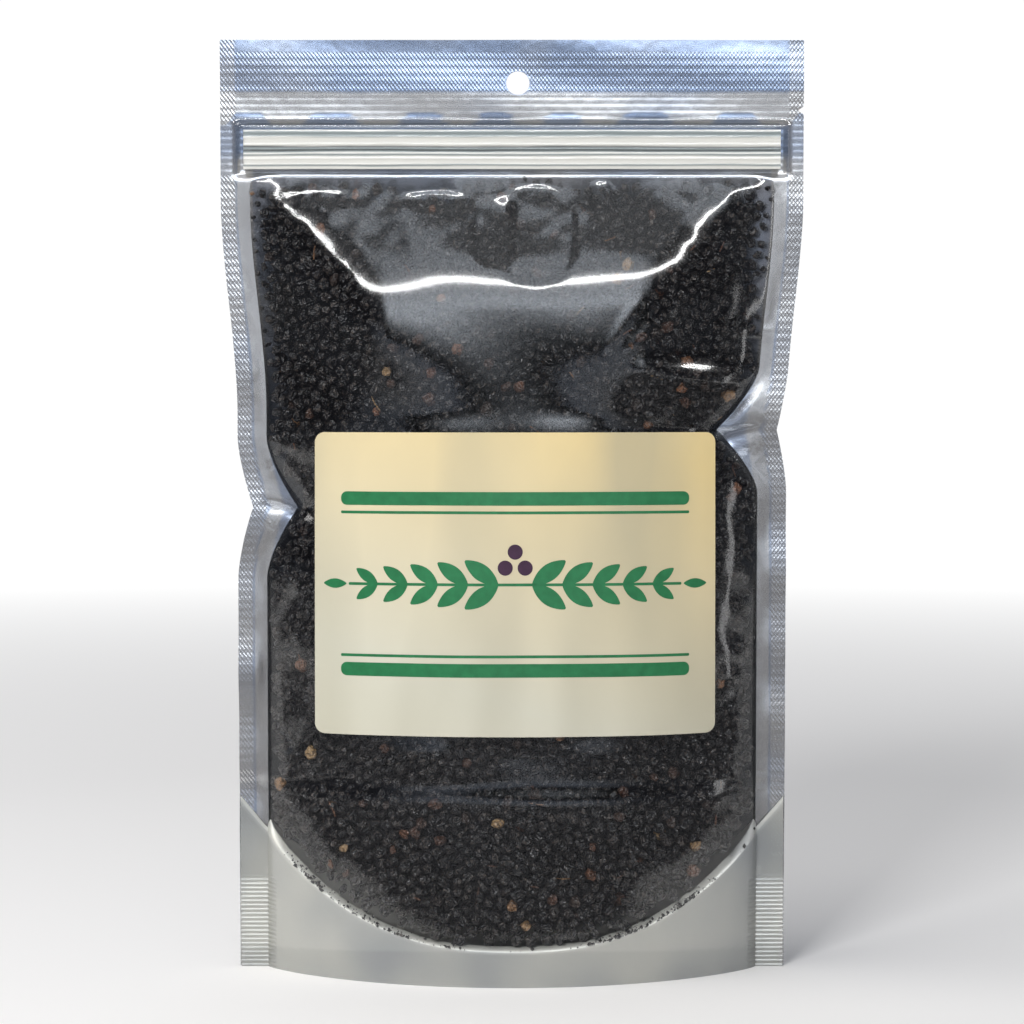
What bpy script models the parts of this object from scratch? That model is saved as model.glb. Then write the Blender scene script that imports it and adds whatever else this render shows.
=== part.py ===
"""A filled stand-up zip pouch: clear front web, metallised back web and bottom gusset,
press-to-close zip, blank label and a fill of dried berries.

Metres, +Z up. The pouch stands on z = 0, its front faces -Y and its flat middle plane is
y = 0. Every web is one closed thin sheet, worked out from the same few curves.
"""

import math

import bmesh
import bpy
import numpy as np

# Driving dimensions, in metres.
POUCH_WIDTH = 0.150  # across the header
POUCH_HEIGHT = 0.240
BASE_HALF_DEPTH = 0.024  # hem of the opened base, from the middle plane
BODY_TAPER = 0.010  # how much half depth the body has lost at the shoulder
BODY_TAPER_POWER = 2.2
SHOULDER_HEIGHT = 0.178
SHOULDER_FOOT = 0.2065  # where the sloping shoulder meets the zip
SHOULDER_SLOPE = 0.49
SHOULDER_ROUNDING = 0.0015
HEM_FULLNESS = 0.80  # power of the lens across the pocket at the hem; lower is fuller
BODY_FULLNESS = 0.50  # and from this height up
BODY_FULLNESS_HEIGHT = 0.060
FILM = 0.0003  # thickness of a web
GAP = 0.0003  # between touching pieces
LEAF_GAP = 0.00045  # between a web and the gusset leaf sealed inside it
SEAL_WIDTH = 0.0075  # side seal
DRAW_IN = 0.004  # how far the filled body draws each side edge in
DRAW_IN_TOP = 0.200  # where that starts, and over what height it comes on
DRAW_IN_HEIGHT = 0.055
GUSSET_RISE = 0.044  # height of the gusset's fold at the side seals
SEAL_ARCH_LOW = 0.009  # height of the U-shaped gusset seal in the middle
SEAL_ARCH_POWER = 2.6
LEAF_TOP = 0.008  # how far above the gusset's fold the webs close up, and over what height
LEAF_FADE = 0.006
GUSSET_INSET = 0.0004  # how far the gusset stays inside the side edges
GUSSET_LEAF_ROWS = 4
GUSSET_FLOOR_ROWS = 9
GUSSET_SAG = 0.68  # sag of the gusset as a share of its half span
ZIP_HEIGHT = 0.212
ZIP_BAND = 0.010  # height of each zip strip
ZIP_LENGTH = 0.138
ZIP_SWELL = 0.0011  # room that the zip takes between the webs, each side
ZIP_SWELL_REACH = 0.0725  # half width and half height of that swelling, at its foot
ZIP_SWELL_RISE = 0.0078
ZIP_SWELL_ENDS = 0.003  # lengths over which it rises, along and up
ZIP_SWELL_EDGES = 0.002
ZIP_FLANGE = 0.0004  # thickness of each strip
ZIP_RIB = 0.0004  # half thickness of the rib
ZIP_LIP_IN = 0.0007  # where each lip starts and ends, from the middle of the rib
ZIP_LIP_OUT = 0.0013
HANG_HOLE_RADIUS = 0.003
HANG_HOLE_AT = (0.0015, 0.229)
HANG_HOLE_SIDES = 16
HANG_HOLE_CUT = 0.010  # length of its cutter
NOTCH_HEIGHT = 0.222  # tear notch in the right edge
NOTCH_DEPTH = 0.0016
LABEL_SIZE = (0.1016, 0.0762)
LABEL_RADIUS = 0.0025
LABEL_AT = (0.0008, 0.1015)
LABEL_THICKNESS = 0.0003
LABEL_COLUMNS = 15
LABEL_ROWS = 10  # between its round corners
LABEL_CORNER_ROWS = 3
WEB_COLUMNS = 19  # points across the pocket in each web
FILL_TOP = 0.201
FILL_UNDER_CLEARANCE = 0.0016
FILL_SIDE_CLEARANCE = 0.0030
FILL_EDGE_RISE = 0.0015  # the fill's lower edge above the U-shaped seal
FILL_EDGE_STEP = 0.0004  # its underside stays at least this far below and behind that edge
FILL_BASE_HEIGHT = 0.03  # where the width of its underside is read
FILL_REACH = 0.0012  # how far round each point the room is read, in front and behind
FILL_REACH_BEHIND = 0.0045
FILL_FLOOR_ROWS = 7
FILL_FLOOR_TURN = 1.35  # radians of the sine that spaces those rows
BERRY_COLUMNS = 17
BERRY_ROWS = 22
BERRY_RELIEF = 0.0024
BERRY_RELIEF_SHARE = 0.45  # and at most this share of the room
BERRY_SHIFT = 0.25  # every other row moves this share of a berry to each side
BERRY_SWAY = 0.10  # and each berry up to this share on its own
BERRY_SINK = 0.35  # each berry is sunk by up to this share of the relief
BERRY_SEED = 20
SHARP_ANGLE = 40  # degrees

CREASE_POWER = 1.5

# Each side edge has one crease: its height, how far it runs up and down, how deep the
# edge is pinched, and how far the crease runs into the body.
CREASES = {-1: (0.120, 0.018, 0.0040, 0.004), 1: (0.140, 0.016, 0.0026, 0.008)}

# Heights of each web's rows, as (from, to, steps): the skirt, the gusset's fold, the body
# with its creases, the shoulder, the zip, the notch and the header.
WEB_ZONES = (
    (0.0, 0.044, 4),
    (0.044, 0.052, 2),
    (0.052, 0.100, 5),
    (0.100, 0.156, 8),
    (0.156, 0.204, 8),
    (0.204, 0.2065, 1),
    (0.2065, 0.2175, 2),
    (0.2175, 0.2205, 1),
    (0.2205, 0.2235, 2),
    (0.2235, POUCH_HEIGHT, 2),
)


def smooth_step(value):
    """0 below 0, 1 above 1, and 3t^2 - 2t^3 between."""
    t = np.clip(value, 0.0, 1.0)
    return t * t * (3.0 - 2.0 * t)


def smooth_min(a, b, width):
    """The lower of a and b, rounded where they are closer than the width."""
    h = np.clip(0.5 + 0.5 * (b - a) / width, 0.0, 1.0)
    return b + (a - b) * h - width * h * (1.0 - h)


def crease(z, side):
    """1 on a side edge's crease, falling to 0 above and below it, steepest at the crease."""
    height, span, _, _ = CREASES[side]
    return np.clip(1.0 - np.abs(z - height) / span, 0.0, 1.0) ** CREASE_POWER


def plain_edge(z):
    """Half width of a web with no crease: straight at the header, drawn in by the fill."""
    return POUCH_WIDTH / 2 - DRAW_IN * smooth_step((DRAW_IN_TOP - z) / DRAW_IN_HEIGHT)


def side_edge(z, side):
    """Half width of a web, pinched at its crease."""
    return plain_edge(z) - CREASES[side][2] * crease(z, side)


def pocket_edge(z, side):
    """Half width of the pocket between the side seals."""
    return side_edge(z, side) - SEAL_WIDTH - CREASES[side][3] * crease(z, side)


def plain_pocket_edge(z, _side):
    """Half width that the pocket would have with no crease, the same on either side."""
    return plain_edge(z) - SEAL_WIDTH


def sided(function, z, across):
    """A half-width function, read on the side that each value of across lies on."""
    return np.where(across < 0, function(z, -1), function(z, 1))


def seal_gap(z):
    """Half the gap between the webs where they are sealed: wider where the gusset's two
    leaves lie between them."""
    leaf = FILM + LEAF_GAP
    return GAP / 2 + leaf * smooth_step((GUSSET_RISE + LEAF_TOP - z) / LEAF_FADE)


def web_inside(x, z, edge=pocket_edge):
    """Distance of a web's inner face from the middle plane. The body is a lens across the
    pocket, cut by the sloping plane of the shoulder, and the zip swells the flat header."""
    across = np.clip(np.abs(x) / sided(edge, z, x), 0.0, 1.0)
    taper = BODY_TAPER * (np.maximum(z, 0.0) / SHOULDER_HEIGHT) ** BODY_TAPER_POWER
    risen = smooth_step(z / BODY_FULLNESS_HEIGHT)
    power = HEM_FULLNESS + (BODY_FULLNESS - HEM_FULLNESS) * risen
    lens = np.maximum(BASE_HALF_DEPTH - taper, 0.0) * (1.0 - across**2) ** power
    shoulder = SHOULDER_SLOPE * np.maximum(SHOULDER_FOOT - z, 0.0)
    bulge = np.maximum(smooth_min(shoulder, lens, SHOULDER_ROUNDING), 0.0)
    beside = smooth_step((ZIP_SWELL_REACH - np.abs(x)) / ZIP_SWELL_ENDS)
    above = smooth_step((ZIP_SWELL_RISE - np.abs(z - ZIP_HEIGHT)) / ZIP_SWELL_EDGES)
    swell = ZIP_SWELL * beside * above
    return seal_gap(z) + np.maximum(bulge, swell)


def seal_arch(x):
    """Height of the U-shaped seal that joins the gusset to the front and back webs."""
    across = np.clip(np.abs(x) / (POUCH_WIDTH / 2 - DRAW_IN), 0.0, 1.0)
    return SEAL_ARCH_LOW + (GUSSET_RISE - SEAL_ARCH_LOW) * across**SEAL_ARCH_POWER


def leaf_middle(x, z):
    """Distance of the middle of a gusset leaf from the middle plane."""
    return web_inside(x, z) - LEAF_GAP - FILM / 2


def gusset_height(x, y):
    """Height of the middle of the gusset between its seals. It sags like a parabola as deep
    as its half span, and lies flat where that would take it below the floor."""
    arch = seal_arch(x)
    span = leaf_middle(x, arch)
    sag = GUSSET_SAG * (span - leaf_middle(POUCH_WIDTH / 2, arch))
    across = np.clip(np.abs(y) / span, 0.0, 1.0)
    return np.maximum(arch - sag * (1.0 - across**2), FILM / 2)


def material(name, colour, roughness, metallic=0.0, alpha=1.0):
    """A Principled material for the Blender viewport and for later use."""
    made = bpy.data.materials.new(name)
    made.use_nodes = True
    shader = made.node_tree.nodes["Principled BSDF"]
    shader.inputs["Base Color"].default_value = (*colour, 1.0)
    shader.inputs["Roughness"].default_value = roughness
    shader.inputs["Metallic"].default_value = metallic
    shader.inputs["Alpha"].default_value = alpha
    return made


def mesh_object(name, points, faces, finish):
    """One closed body with its faces pointing out."""
    mesh = bpy.data.meshes.new(name)
    shape = bmesh.new()
    corners = [shape.verts.new(point) for point in points]
    for face in faces:
        shape.faces.new([corners[index] for index in face])
    bmesh.ops.recalc_face_normals(shape, faces=shape.faces)
    shape.to_mesh(mesh)
    shape.free()
    mesh.materials.append(finish)
    mesh.shade_smooth()
    mesh.set_sharp_from_angle(angle=math.radians(SHARP_ANGLE))
    made = bpy.data.objects.new(name, mesh)
    bpy.context.collection.objects.link(made)
    return made


def grid_faces(rows, columns, start=0):
    """The quads of a grid of points stored row by row, as two triangles each."""
    faces = []
    for row in range(rows - 1):
        for column in range(columns - 1):
            a = start + row * columns + column
            b, c, d = a + 1, a + columns + 1, a + columns
            faces += [(a, b, c), (a, c, d)]
    return faces


def border(rows, columns):
    """Indices round the edge of such a grid."""
    bottom = list(range(columns))
    right = [row * columns + columns - 1 for row in range(1, rows)]
    top = [(rows - 1) * columns + column for column in range(columns - 2, -1, -1)]
    left = [row * columns for row in range(rows - 2, 0, -1)]
    return bottom + right + top + left


def sheet(name, one_face, other_face, finish):
    """A thin closed sheet between two equal grids of points, shaped (rows, columns, 3)."""
    rows, columns = one_face.shape[:2]
    count = rows * columns
    points = np.concatenate([one_face.reshape(-1, 3), other_face.reshape(-1, 3)])
    faces = grid_faces(rows, columns) + grid_faces(rows, columns, count)
    loop = border(rows, columns)
    for a, b in zip(loop, loop[1:] + loop[:1]):
        faces += [(a, b, b + count), (a, b + count, a + count)]
    return mesh_object(name, points, faces, finish)


def levels(*zones):
    """Heights from zones of (from, to, steps), each height once."""
    parts = [np.linspace(low, high, steps, endpoint=False) for low, high, steps in zones]
    return np.append(np.concatenate(parts), zones[-1][1])


def web_columns(z, inset=0.0):
    """x of each point of a web's grid: columns across the pocket, closer towards its sides,
    and one more at each outer edge. z has one value a row."""
    spread = np.sin(np.linspace(-math.pi / 2, math.pi / 2, WEB_COLUMNS))
    rows = z[:, None]
    inner = spread[None, :] * sided(pocket_edge, rows, spread[None, :])
    left = -(side_edge(rows, -1) - inset)
    right = side_edge(rows, 1) - inset
    return np.concatenate([left, inner, right], axis=1)


def stacked(x, y, z):
    """Points from their x, y and z arrays, shaped (..., 3)."""
    return np.stack(np.broadcast_arrays(x, y, z), axis=-1)


def web(name, facing, heights, finish):
    """The front (facing -1) or back (facing 1) web, from hem to header."""
    x = web_columns(heights)
    notched = np.isclose(heights, NOTCH_HEIGHT)
    x[notched, -1] -= NOTCH_DEPTH
    z = heights[:, None] + 0.0 * x
    inside = web_inside(x, z)
    return sheet(
        name,
        stacked(x, facing * inside, z),
        stacked(x, facing * (inside + FILM), z),
        finish,
    )


def cut_hang_hole(target):
    """Cuts the round hang hole through a web."""
    mesh = bpy.data.meshes.new("hang_hole_cutter")
    shape = bmesh.new()
    bmesh.ops.create_cone(
        shape,
        cap_ends=True,
        segments=HANG_HOLE_SIDES,
        radius1=HANG_HOLE_RADIUS,
        radius2=HANG_HOLE_RADIUS,
        depth=HANG_HOLE_CUT,
    )
    shape.to_mesh(mesh)
    shape.free()
    cutter = bpy.data.objects.new("hang_hole_cutter", mesh)
    bpy.context.collection.objects.link(cutter)
    cutter.location = (HANG_HOLE_AT[0], 0.0, HANG_HOLE_AT[1])
    cutter.rotation_euler = (math.pi / 2, 0.0, 0.0)
    cutter.hide_render = True
    cutter.display_type = "WIRE"
    cut = target.modifiers.new("hang_hole", "BOOLEAN")
    cut.operation = "DIFFERENCE"
    cut.object = cutter


def gusset(finish):
    """The bottom web: a front leaf sealed inside the front web up to the U-shaped seal, the
    sagging floor of the pouch, and a back leaf. It is a sheet of even thickness."""
    x = web_columns(np.array([GUSSET_RISE / 2]), GUSSET_INSET)[0]
    arch = seal_arch(x)
    rise = np.linspace(0.0, 1.0, GUSSET_LEAF_ROWS)[:, None] * arch[None, :]
    leaf = leaf_middle(x[None, :], rise)
    front = stacked(x[None, :], -leaf, rise)
    back = stacked(x[None, :], leaf, rise)[::-1]
    across = np.sin(np.linspace(-math.pi / 2, math.pi / 2, GUSSET_FLOOR_ROWS))[1:-1, None]
    y = across * leaf_middle(x, arch)[None, :]
    floor = stacked(x[None, :], y, gusset_height(x[None, :], y))
    middle = np.concatenate([front, floor, back])
    along, down = np.gradient(middle, axis=1), np.gradient(middle, axis=0)
    normal = np.cross(along, down)
    normal /= np.linalg.norm(normal, axis=-1, keepdims=True)
    normal[0], normal[-1] = (0, -1, 0), (0, 1, 0)
    return sheet("gusset_film", middle - normal * FILM / 2, middle + normal * FILM / 2, finish)


def extruded(name, profile, length, finish):
    """A strip along X with a (y, z) profile."""
    mesh = bpy.data.meshes.new(name)
    shape = bmesh.new()
    corners = [shape.verts.new((-length / 2, y, z)) for y, z in profile]
    face = shape.faces.new(corners)
    pushed = bmesh.ops.extrude_face_region(shape, geom=[face])["geom"]
    moved = [item for item in pushed if isinstance(item, bmesh.types.BMVert)]
    bmesh.ops.translate(shape, vec=(length, 0.0, 0.0), verts=moved)
    bmesh.ops.recalc_face_normals(shape, faces=shape.faces)
    shape.to_mesh(mesh)
    shape.free()
    mesh.materials.append(finish)
    made = bpy.data.objects.new(name, mesh)
    bpy.context.collection.objects.link(made)
    return made


def zip_strips(finish):
    """The two halves of the press-to-close zip: a rib on the front web's flange, pressed
    between two lips on the back web's flange."""
    flange = ZIP_SWELL + GAP / 2 - GAP  # outer face of each flange, from the middle plane
    inner = flange - ZIP_FLANGE
    low, high = ZIP_HEIGHT - ZIP_BAND / 2, ZIP_HEIGHT + ZIP_BAND / 2
    middle = ZIP_HEIGHT
    rib_profile = [
        (-flange, low),
        (-inner, low),
        (-inner, middle - ZIP_RIB),
        (inner - GAP, middle - ZIP_RIB),
        (inner - GAP, middle + ZIP_RIB),
        (-inner, middle + ZIP_RIB),
        (-inner, high),
        (-flange, high),
    ]
    tip = -inner + GAP
    groove_profile = [
        (flange, low),
        (inner, low),
        (inner, middle - ZIP_LIP_OUT),
        (tip, middle - ZIP_LIP_OUT),
        (tip, middle - ZIP_LIP_IN),
        (inner, middle - ZIP_LIP_IN),
        (inner, middle + ZIP_LIP_IN),
        (tip, middle + ZIP_LIP_IN),
        (tip, middle + ZIP_LIP_OUT),
        (inner, middle + ZIP_LIP_OUT),
        (inner, high),
        (flange, high),
    ]
    extruded("zip_rib_strip", rib_profile, ZIP_LENGTH, finish)
    extruded("zip_groove_strip", groove_profile, ZIP_LENGTH, finish)


def label(finish):
    """A blank rectangular label with round corners, laid over the bulge of the front web."""
    width, height = LABEL_SIZE
    half = height / 2
    turn = np.linspace(0.0, math.pi / 2, LABEL_CORNER_ROWS)
    corner = half - LABEL_RADIUS + LABEL_RADIUS * np.sin(turn)
    middle = np.linspace(-(half - LABEL_RADIUS), half - LABEL_RADIUS, LABEL_ROWS)[1:-1]
    rise = np.concatenate([-corner[::-1], middle, corner])
    over = np.maximum(np.abs(rise) - (half - LABEL_RADIUS), 0.0)
    reach = width / 2 - LABEL_RADIUS + np.sqrt(np.maximum(LABEL_RADIUS**2 - over**2, 0.0))
    x = LABEL_AT[0] + np.linspace(-1.0, 1.0, LABEL_COLUMNS)[None, :] * reach[:, None]
    z = LABEL_AT[1] + rise[:, None] + 0.0 * x
    laid = web_inside(x, z, plain_pocket_edge) + FILM + GAP
    return sheet("label", stacked(x, -laid, z), stacked(x, -laid - LABEL_THICKNESS, z), finish)


def fill_x(across, z):
    """x of the fill's surface at a share of its half width, -1 to 1."""
    return across * (sided(pocket_edge, z, across) - FILL_SIDE_CLEARANCE)


def fill_room(x, z, reach):
    """Distance from the middle plane that the fill may take up: the least that the web
    leaves within a short reach, so that the fill spans the creases without touching."""
    spots = [(0.0, 0.0), (reach, 0.0), (-reach, 0.0), (0.0, reach), (0.0, -reach)]
    return np.min([web_inside(x + dx, z + dz) for dx, dz in spots], axis=0) - GAP


def stitch(fine, coarse, fine_at, coarse_at):
    """Triangles between two lines of points, each with its place along the line, 0 to 1."""
    faces, i, j = [], 0, 0
    while i < len(fine) - 1 or j < len(coarse) - 1:
        coarse_done = j == len(coarse) - 1
        if coarse_done or (i < len(fine) - 1 and fine_at[i + 1] <= coarse_at[j + 1]):
            faces.append((fine[i], fine[i + 1], coarse[j]))
            i += 1
        else:
            faces.append((fine[i], coarse[j + 1], coarse[j]))
            j += 1
    return faces


def berry_front():
    """The front of the fill as packed berries, larger than life. Each berry is a raised
    block of 2 by 2 points between low lines, every other row is moved by half a berry, and
    a seeded draw moves and sinks each one a little."""
    draw = np.random.default_rng(BERRY_SEED)
    columns, rows = 3 * BERRY_COLUMNS + 1, 3 * BERRY_ROWS + 1
    column, row = np.meshgrid(np.arange(columns), np.arange(rows))
    berry_x = np.minimum(column // 3, BERRY_COLUMNS - 1)
    berry_z = np.minimum(row // 3, BERRY_ROWS - 1)
    on_berry = (column % 3 > 0) & (row % 3 > 0)
    shift = np.where(berry_z % 2 == 0, -BERRY_SHIFT, BERRY_SHIFT) * (row % 3 > 0)
    inside = (column > 0) & (column < columns - 1)
    moves = draw.uniform(-BERRY_SWAY, BERRY_SWAY, (BERRY_ROWS, BERRY_COLUMNS, 2))
    sway = np.where(on_berry[..., None], moves[berry_z, berry_x], 0.0)
    across = (column / 3 + np.where(inside, shift + sway[..., 0], 0.0)) / BERRY_COLUMNS
    across = 2.0 * across - 1.0
    upwards = (row / 3 + sway[..., 1]) / BERRY_ROWS
    bottom = seal_arch(fill_x(across, np.full_like(across, FILL_BASE_HEIGHT))) + FILL_EDGE_RISE
    z = bottom + upwards * (FILL_TOP - bottom)
    x = fill_x(across, z)
    room = fill_room(x, z, FILL_REACH)
    sunk = draw.uniform(0.0, BERRY_SINK, (BERRY_ROWS, BERRY_COLUMNS))[berry_z, berry_x]
    below = np.where(on_berry, sunk, 1.0) * np.minimum(BERRY_RELIEF, BERRY_RELIEF_SHARE * room)
    return stacked(x, -(room - below), z)


def berry_rear():
    """The rest of the fill: its underside on the gusset, front to back, then its back."""
    across = np.linspace(-1.0, 1.0, BERRY_COLUMNS + 1)[None, :]
    x = fill_x(across, np.full_like(across, FILL_BASE_HEIGHT))
    edge = seal_arch(x) + FILL_EDGE_RISE
    reach = fill_room(x, edge, FILL_REACH) - FILL_EDGE_STEP
    turn = np.linspace(-FILL_FLOOR_TURN, FILL_FLOOR_TURN, FILL_FLOOR_ROWS)
    y = np.sin(turn)[:, None] / math.sin(FILL_FLOOR_TURN) * reach
    low = gusset_height(x, y) + FILM / 2 + FILL_UNDER_CLEARANCE
    under = stacked(x, y, np.minimum(low, edge - FILL_EDGE_STEP))
    upwards = np.linspace(0.0, 1.0, BERRY_ROWS + 1)[1:, None]
    z = edge + upwards * (FILL_TOP - edge)
    behind_x = fill_x(across + 0.0 * z, z)
    behind = stacked(behind_x, fill_room(behind_x, z, FILL_REACH_BEHIND), z)
    return np.concatenate([under, behind])


def dried_berries(finish):
    """The fill: a relief of berries in front, joined to a plain underside and back."""
    front = berry_front()
    rear = berry_rear()
    rows, columns = front.shape[:2]
    rear_rows, rear_columns = rear.shape[:2]
    start = rows * columns
    points = np.concatenate([front.reshape(-1, 3), rear.reshape(-1, 3)])
    faces = grid_faces(rows, columns) + grid_faces(rear_rows, rear_columns, start)
    fine_up, coarse_across = np.linspace(0, 1, rows), np.linspace(0, 1, rear_columns)
    rear_up = np.append(np.zeros(FILL_FLOOR_ROWS), np.linspace(0, 1, BERRY_ROWS + 1)[1:])
    for side in (0, 1):
        fine = [row * columns + side * (columns - 1) for row in range(rows)]
        coarse = [start + row * rear_columns + side * (rear_columns - 1) for row in range(rear_rows)]
        faces += stitch(fine, coarse, fine_up, rear_up)
    fine_across = np.linspace(0, 1, columns)
    last, rear_last = (rows - 1) * columns, start + (rear_rows - 1) * rear_columns
    for fine_start, coarse_start in ((0, start), (last, rear_last)):
        fine = list(range(fine_start, fine_start + columns))
        coarse = list(range(coarse_start, coarse_start + rear_columns))
        faces += stitch(fine, coarse, fine_across, coarse_across)
    return mesh_object("dried_berries", points, faces, finish)


def main():
    """Clears the scene and builds the seven nodes."""
    for old in list(bpy.data.objects):
        bpy.data.objects.remove(old)
    clear = material("clear_film", (0.93, 0.94, 0.95), 0.08, alpha=0.18)
    silver = material("metallised_film", (0.72, 0.75, 0.78), 0.28, metallic=1.0)
    plastic = material("zip_plastic", (0.86, 0.86, 0.82), 0.35)
    paper = material("label_paper", (0.93, 0.88, 0.72), 0.45)
    berry = material("dried_berry", (0.022, 0.020, 0.024), 0.55)

    heights = levels(*WEB_ZONES)
    cut_hang_hole(web("front_film", -1, heights, clear))
    cut_hang_hole(web("back_film", 1, heights, silver))
    gusset(silver)
    zip_strips(plastic)
    label(paper)
    dried_berries(berry)


main()
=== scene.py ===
"""Looks of a filled stand-up zip pouch: clear front film, metallised back and gusset,
press-to-close zip, a label with a plain ornament, and a fill of wrinkled dried berries.

Metres, +Z up, front towards -Y. Every new piece is a surface of two parameters, worked out
from the same few curves of the pouch, and rides on the one body "root".
"""

import logging
import math
from dataclasses import dataclass, field
from enum import Enum

import bmesh
import bpy
import numpy as np
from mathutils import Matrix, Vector


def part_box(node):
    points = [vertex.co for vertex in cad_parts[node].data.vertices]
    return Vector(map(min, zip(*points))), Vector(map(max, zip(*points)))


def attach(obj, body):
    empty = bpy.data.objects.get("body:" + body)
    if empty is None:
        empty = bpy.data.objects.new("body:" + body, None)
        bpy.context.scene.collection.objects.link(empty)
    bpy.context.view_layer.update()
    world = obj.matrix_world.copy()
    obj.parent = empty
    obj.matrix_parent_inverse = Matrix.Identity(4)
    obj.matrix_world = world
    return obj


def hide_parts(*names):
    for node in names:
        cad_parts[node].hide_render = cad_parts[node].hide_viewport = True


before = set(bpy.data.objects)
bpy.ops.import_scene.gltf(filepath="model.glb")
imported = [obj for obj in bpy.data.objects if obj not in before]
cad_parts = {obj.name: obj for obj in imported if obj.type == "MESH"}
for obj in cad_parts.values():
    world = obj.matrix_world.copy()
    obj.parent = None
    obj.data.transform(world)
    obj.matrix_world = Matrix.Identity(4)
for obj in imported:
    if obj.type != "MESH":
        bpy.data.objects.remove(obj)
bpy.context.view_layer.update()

BODY = "root"
LOG = logging.getLogger("pouch")

Array = np.ndarray
Socket = bpy.types.NodeSocket
Material = bpy.types.Material
Piece = bpy.types.Object
Colour = tuple[float, float, float]


class Side(Enum):
    """The two webs, by the way that each one faces along Y."""

    FRONT = -1
    BACK = 1


# ---------------------------------------------------------------- curves and noise


def smooth_step(value: Array) -> Array:
    """0 below 0, 1 above 1, and 3t^2 - 2t^3 between."""
    t = np.clip(value, 0.0, 1.0)
    return t * t * (3.0 - 2.0 * t)


def smooth_min(a: Array, b: Array, width: float) -> Array:
    """The lower of a and b, rounded where they are closer than the width."""
    h = np.clip(0.5 + 0.5 * (b - a) / width, 0.0, 1.0)
    return b + (a - b) * h - width * h * (1.0 - h)


def waves(x: Array, z: Array, length: float, seed: int, count: int = 16) -> Array:
    """Smooth noise of about unit size: a sum of sines that run in seeded directions.

    Args:
        x: First coordinate of each point.
        z: Second coordinate of each point.
        length: Mean wavelength, in metres.
        seed: Seed of the draw of directions, wavelengths and phases.
        count: How many sines are summed.

    Returns:
        The noise at each point.
    """
    draw = np.random.default_rng(seed)
    total = np.zeros(np.broadcast(x, z).shape)
    for _ in range(count):
        turn, phase = draw.uniform(0.0, 2.0 * math.pi, 2)
        pitch = length * draw.uniform(0.65, 1.6)
        total += np.sin(2.0 * math.pi * (x * math.cos(turn) + z * math.sin(turn)) / pitch + phase)
    return total / math.sqrt(count / 2.0)


@dataclass(frozen=True)
class Crease:
    """A pinch in a side edge: its height, its reach up and down, and its two depths."""

    height: float
    span: float
    edge_depth: float
    body_depth: float
    power: float = 1.5

    def at(self, z: Array) -> Array:
        """1 on the crease, falling to 0 at its reach above and below."""
        return np.clip(1.0 - np.abs(z - self.height) / self.span, 0.0, 1.0) ** self.power


@dataclass(frozen=True)
class Fold:
    """A ridge in the film along the line between two (x, z) points, as high as it says in
    the middle, fading towards both ends, with a bell-shaped section."""

    start: tuple[float, float]
    end: tuple[float, float]
    height: float
    width: float

    def at(self, x: Array, z: Array) -> Array:
        """Height of the ridge: the bell of the distance from the line, times the fade."""
        (x0, z0), (x1, z1) = self.start, self.end
        dx, dz = x1 - x0, z1 - z0
        along = ((x - x0) * dx + (z - z0) * dz) / (dx * dx + dz * dz)
        held = np.clip(along, 0.0, 1.0)
        away = np.hypot(x - x0 - held * dx, z - z0 - held * dz)
        fade = np.sqrt(np.clip(4.0 * held * (1.0 - held), 0.0, 1.0))
        return self.height * fade * np.exp(-((away / self.width) ** 2))


@dataclass(frozen=True)
class Patch:
    """A place where the film clings to the fill: a flat dent with a narrow rim, inside the
    superellipse |u|^power + |v|^power = 1 about its (x, z) middle."""

    middle: tuple[float, float]
    half_size: tuple[float, float]
    depth: float
    rim: float = 0.0007
    power: float = 3.0

    def at(self, x: Array, z: Array) -> Array:
        """Height of the dent: -depth inside, 0 outside, a smooth step over the rim."""
        u = np.abs(x - self.middle[0]) / self.half_size[0]
        v = np.abs(z - self.middle[1]) / self.half_size[1]
        level = (u**self.power + v**self.power) ** (1.0 / self.power)
        beyond = (level - 1.0) * min(self.half_size)
        return -self.depth * (1.0 - smooth_step(beyond / self.rim + 0.5))


# ---------------------------------------------------------------- the pouch's form


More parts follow.
